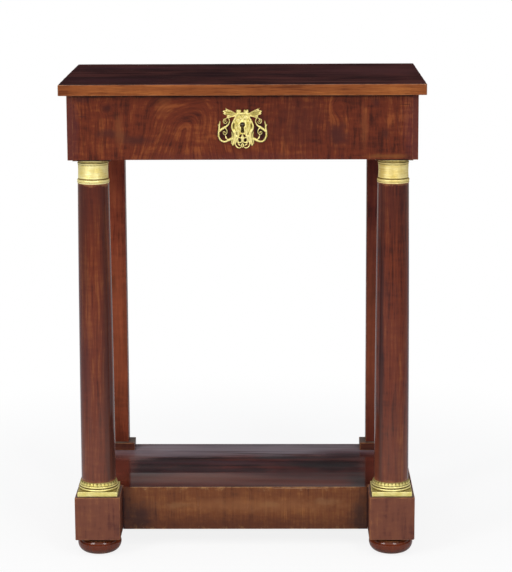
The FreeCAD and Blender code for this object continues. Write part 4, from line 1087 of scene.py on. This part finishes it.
def footProfile():
    # A flattened bun: a quarter round from the floor to the belly, a shorter arc up to the
    # shoulder, a thin collar and the dowel.
    land, belly, top = foot["land"], foot["belly"], foot["top"]
    dowel, dowelTop = foot["dowelRadius"], foot["dowelTop"]
    rising = np.linspace(0, np.pi / 2, 22)
    low = pairs(land + (belly - land) * np.sin(rising), foot["bellyHeight"] * (1 - np.cos(rising)))
    drop, height = belly - foot["shoulder"], foot["shoulderHeight"] - foot["bellyHeight"]
    arc = (drop ** 2 + height ** 2) / (2 * drop)
    bend = np.linspace(0, math.atan2(height, arc - drop), 16)[1:]
    high = pairs(belly - arc * (1 - np.cos(bend)), foot["bellyHeight"] + arc * np.sin(bend))
    collar = beadLine(foot["collar"] - 0.5, foot["shoulderHeight"], top - 0.2, 0.5, 9)
    return joinProfile([(0, 0)], low, high, collar,
                       [(foot["topRadius"], top), (dowel, top), (dowel, dowelTop), (0, dowelTop)])


basePlate = {"radius": 0.8, "wear": 0.5, "bow": 0.05, "rubbed": 1.6}
abacus = {"radius": 0.4, "wear": 0.3, "bow": 0.02, "rubbed": 0.8}
columnAxis = (273.75, -141.75)
rearFootY = 141.75

for side, sign, gilding in (("Left", -1, "turnedGiltBrass"), ("Right", 1, "shadedGiltBrass")):
    tail = side.lower()
    axis = (sign * columnAxis[0] * mm, columnAxis[1] * mm)
    column = turnedShape(shaftProfile(), axis, uneven=shaft["uneven"] * mm, seed=3 + sign)
    makePiece("column" + side, column, "columnMahogany", bodyTable, "column_" + tail)
    makePiece("capital" + side, turnedShape(capitalProfile(), axis, 120), gilding, bodyTable,
              "capital_" + tail)
    makePiece("baseRings" + side, turnedShape(ringsProfile(), axis, 480, leafRibs), "giltBrass", bodyTable,
              "column_base_rings_" + tail)
    node = "column_base_plate_" + tail
    makePiece("basePlate" + side, boardShape(*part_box(node), basePlate, 31 + sign), "giltBrass", bodyTable,
              node)
    node = "abacus_" + tail
    makePiece("abacus" + side, boardShape(*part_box(node), abacus, 41 + sign), "ebonisedWood", bodyTable,
              node)
    for end, y in (("Front", columnAxis[1]), ("Rear", rearFootY)):
        bun = turnedShape(footProfile(), (axis[0], y * mm), uneven=foot["uneven"] * mm, seed=7)
        makePiece("foot" + end + side, bun, "footMahogany", bodyTable,
                  "foot_" + end.lower() + "_" + tail)
print("turned pieces built")


nodeFinishes = {
    "pineAlongX": "frieze_back front_rail rear_rail drawer_stops plinth_front_board plinth_back drawer_bottom "
                  "drawer_front plinth_glue_blocks",
    "pineAlongY": "drawer_runner_left drawer_runner_right kicker_left kicker_right frieze_corner_blocks "
                  "rear_corner_block_left rear_corner_block_right",
    "oakDrawer": "drawer_side_left drawer_side_right drawer_back",
    "mountGiltBrass": "escutcheon_pins",
    "lockBrass": "lock_plate lock_bolt",
    "darkSteel": "lock_case lock_key_pin lock_spring lock_screws top_screws drawer_bottom_pins",
}
for finish, names in nodeFinishes.items():
    for name in names.split():
        materials = cadNodes[name].data.materials
        materials.clear()
        materials.append(finishes[finish])
print("node finishes set")


floorLook = {"size": 3.0, "lines": 13, "level": -0.3 * mm, "shade": colour(236, 236, 234),
             "paleShade": colour(240, 240, 239), "whiteShare": 0.86, "fadeFrom": 0.6, "fadeTo": 1.3}
floorLines = np.linspace(-floorLook["size"], floorLook["size"], floorLook["lines"])
floorX, floorY = np.meshgrid(floorLines, floorLines, indexing="ij")
floorPoints = np.stack([floorX, floorY, np.full_like(floorX, floorLook["level"])], axis=-1).reshape(-1, 3)
floorMesh = bpy.data.meshes.new("studioFloor")
floorMesh.from_pydata(floorPoints.tolist(), [], gridFaces(*floorX.shape)[:, ::-1].tolist())
floor = addObject("studioFloor", floorMesh)

floorMaterial, shader, place, *_ = newMaterial("studioFloor")
tree = floorMaterial.node_tree
tone = mixColours(place.noise(3.0), floorLook["shade"], floorLook["paleShade"])
fillInputs(shader.socket.node.inputs, {"Roughness": 0.9, "Specular IOR Level": 0.1, "Base Color": tone})
rays = outputsOf(tree.nodes.new("ShaderNodeLightPath"))
seen = rays["Is Camera Ray"].calc("MAXIMUM", rays["Is Transmission Ray"])
whiteShare = place.length().rise(floorLook["fadeFrom"], floorLook["fadeTo"], floorLook["whiteShare"], 1.0)
white = wire("ShaderNodeEmission", {"Color": (1, 1, 1, 1), "Strength": 1.0}, tree=tree)
lit = wire("ShaderNodeMixShader", {0: seen * whiteShare, 1: shader, 2: white})
backfacing = wire("ShaderNodeNewGeometry", {}, "Backfacing", tree)
clear = wire("ShaderNodeBsdfTransparent", {}, tree=tree)
shown = wire("ShaderNodeMixShader", {0: backfacing, 1: lit, 2: clear})
fillInputs(tree.nodes["Material Output"].inputs, {0: shown})
floorMesh.materials.append(floorMaterial)

worldLook = {"ambient": (0.86, 0.90, 1.0, 1), "strength": 0.42, "white": (1, 1, 1, 1),
             "lowDark": (0.02, 0.014, 0.016, 1), "roomFloor": (0.60, 0.55, 0.52, 1)}
world = bpy.data.worlds.new("studioRoom")
bpy.context.scene.world = world
world.use_nodes = True
tree = world.node_tree
tree.nodes.clear()
rays = outputsOf(tree.nodes.new("ShaderNodeLightPath"))
way = wire("ShaderNodeTexCoord", {}, "Generated", tree).parts()[2]
lowTone = mixColours(way.rise(-0.02, -0.06), worldLook["lowDark"], worldLook["roomFloor"])
room = mixColours(way.rise(0.335, 0.275) * rays["Is Glossy Ray"], worldLook["white"], lowTone)
seen = (rays["Is Camera Ray"] + rays["Is Glossy Ray"] + rays["Is Transmission Ray"]).calc("MINIMUM", 1.0)
ambient = wire("ShaderNodeBackground", {
    "Color": worldLook["ambient"], "Strength": worldLook["strength"]}, tree=tree)
backdrop = wire("ShaderNodeBackground", {"Color": room, "Strength": 1.0})
addNode("ShaderNodeOutputWorld", {0: wire("ShaderNodeMixShader", {0: seen, 1: ambient, 2: backdrop})})

lamps = {
    "softLeft": {"turn": -41.0, "height": 1.9, "distance": 2.6, "width": 0.8, "tall": 1.4, "watts": 33.0},
    "softRight": {"turn": 26.0, "height": 1.9, "distance": 2.6, "width": 0.7, "tall": 1.4, "watts": 24.0},
    "softTop": {"turn": 0.0, "height": 2.9, "distance": 0.6, "width": 2.2, "tall": 1.6, "watts": 26.0},
}
lampTarget = (0.0, 0.0, 0.45)


def axesMatrix(x, y, z, place):
    rows = np.eye(4)
    rows[:3] = np.stack([x, y, z, place], axis=-1)
    return Matrix(rows.tolist())


def aimedMatrix(position, target):
    # A lamp that looks at the target: its Z points away from it and its X is level.
    back = np.array(position, float) - target
    back /= np.linalg.norm(back)
    right = np.cross((0.0, 1.0, 0.0) if abs(back[2]) > 0.99 else (0.0, 0.0, 1.0), back)
    right /= np.linalg.norm(right)
    return axesMatrix(right, np.cross(back, right), back, position)


for name, lamp in lamps.items():
    light = bpy.data.lights.new(name, "AREA")
    light.shape = "RECTANGLE"
    light.size, light.size_y, light.energy = lamp["width"], lamp["tall"], lamp["watts"]
    turn = math.radians(lamp["turn"])
    position = (math.sin(turn) * lamp["distance"], -math.cos(turn) * lamp["distance"], lamp["height"])
    holder = addObject(name, light)
    holder.matrix_world = aimedMatrix(position, lampTarget)
    holder.visible_camera = False

view = {"lens": 131.66, "sensor": 36.0, "place": (0.067, -3.918, 1.270), "yaw": -0.67, "pitch": 10.33,
        "roll": -0.25, "shiftY": -0.07}
yaw, pitch, roll = (math.radians(view[key]) for key in ("yaw", "pitch", "roll"))
forward = np.array([math.sin(yaw) * math.cos(pitch), math.cos(yaw) * math.cos(pitch), -math.sin(pitch)])
level = np.array([math.cos(yaw), -math.sin(yaw), 0.0])
upright = np.cross(level, forward)
right = math.cos(roll) * level + math.sin(roll) * upright
upward = -math.sin(roll) * level + math.cos(roll) * upright
lens = bpy.data.cameras.new("studioCamera")
lens.lens, lens.sensor_width, lens.shift_y = view["lens"], view["sensor"], view["shiftY"]
camera = addObject("studioCamera", lens)
camera.matrix_world = axesMatrix(right, upward, -forward, view["place"])
bpy.context.scene.camera = camera
bpy.context.scene.view_settings.view_transform = "Standard"
print("floor, light and camera set")

bpy.context.view_layer.update()
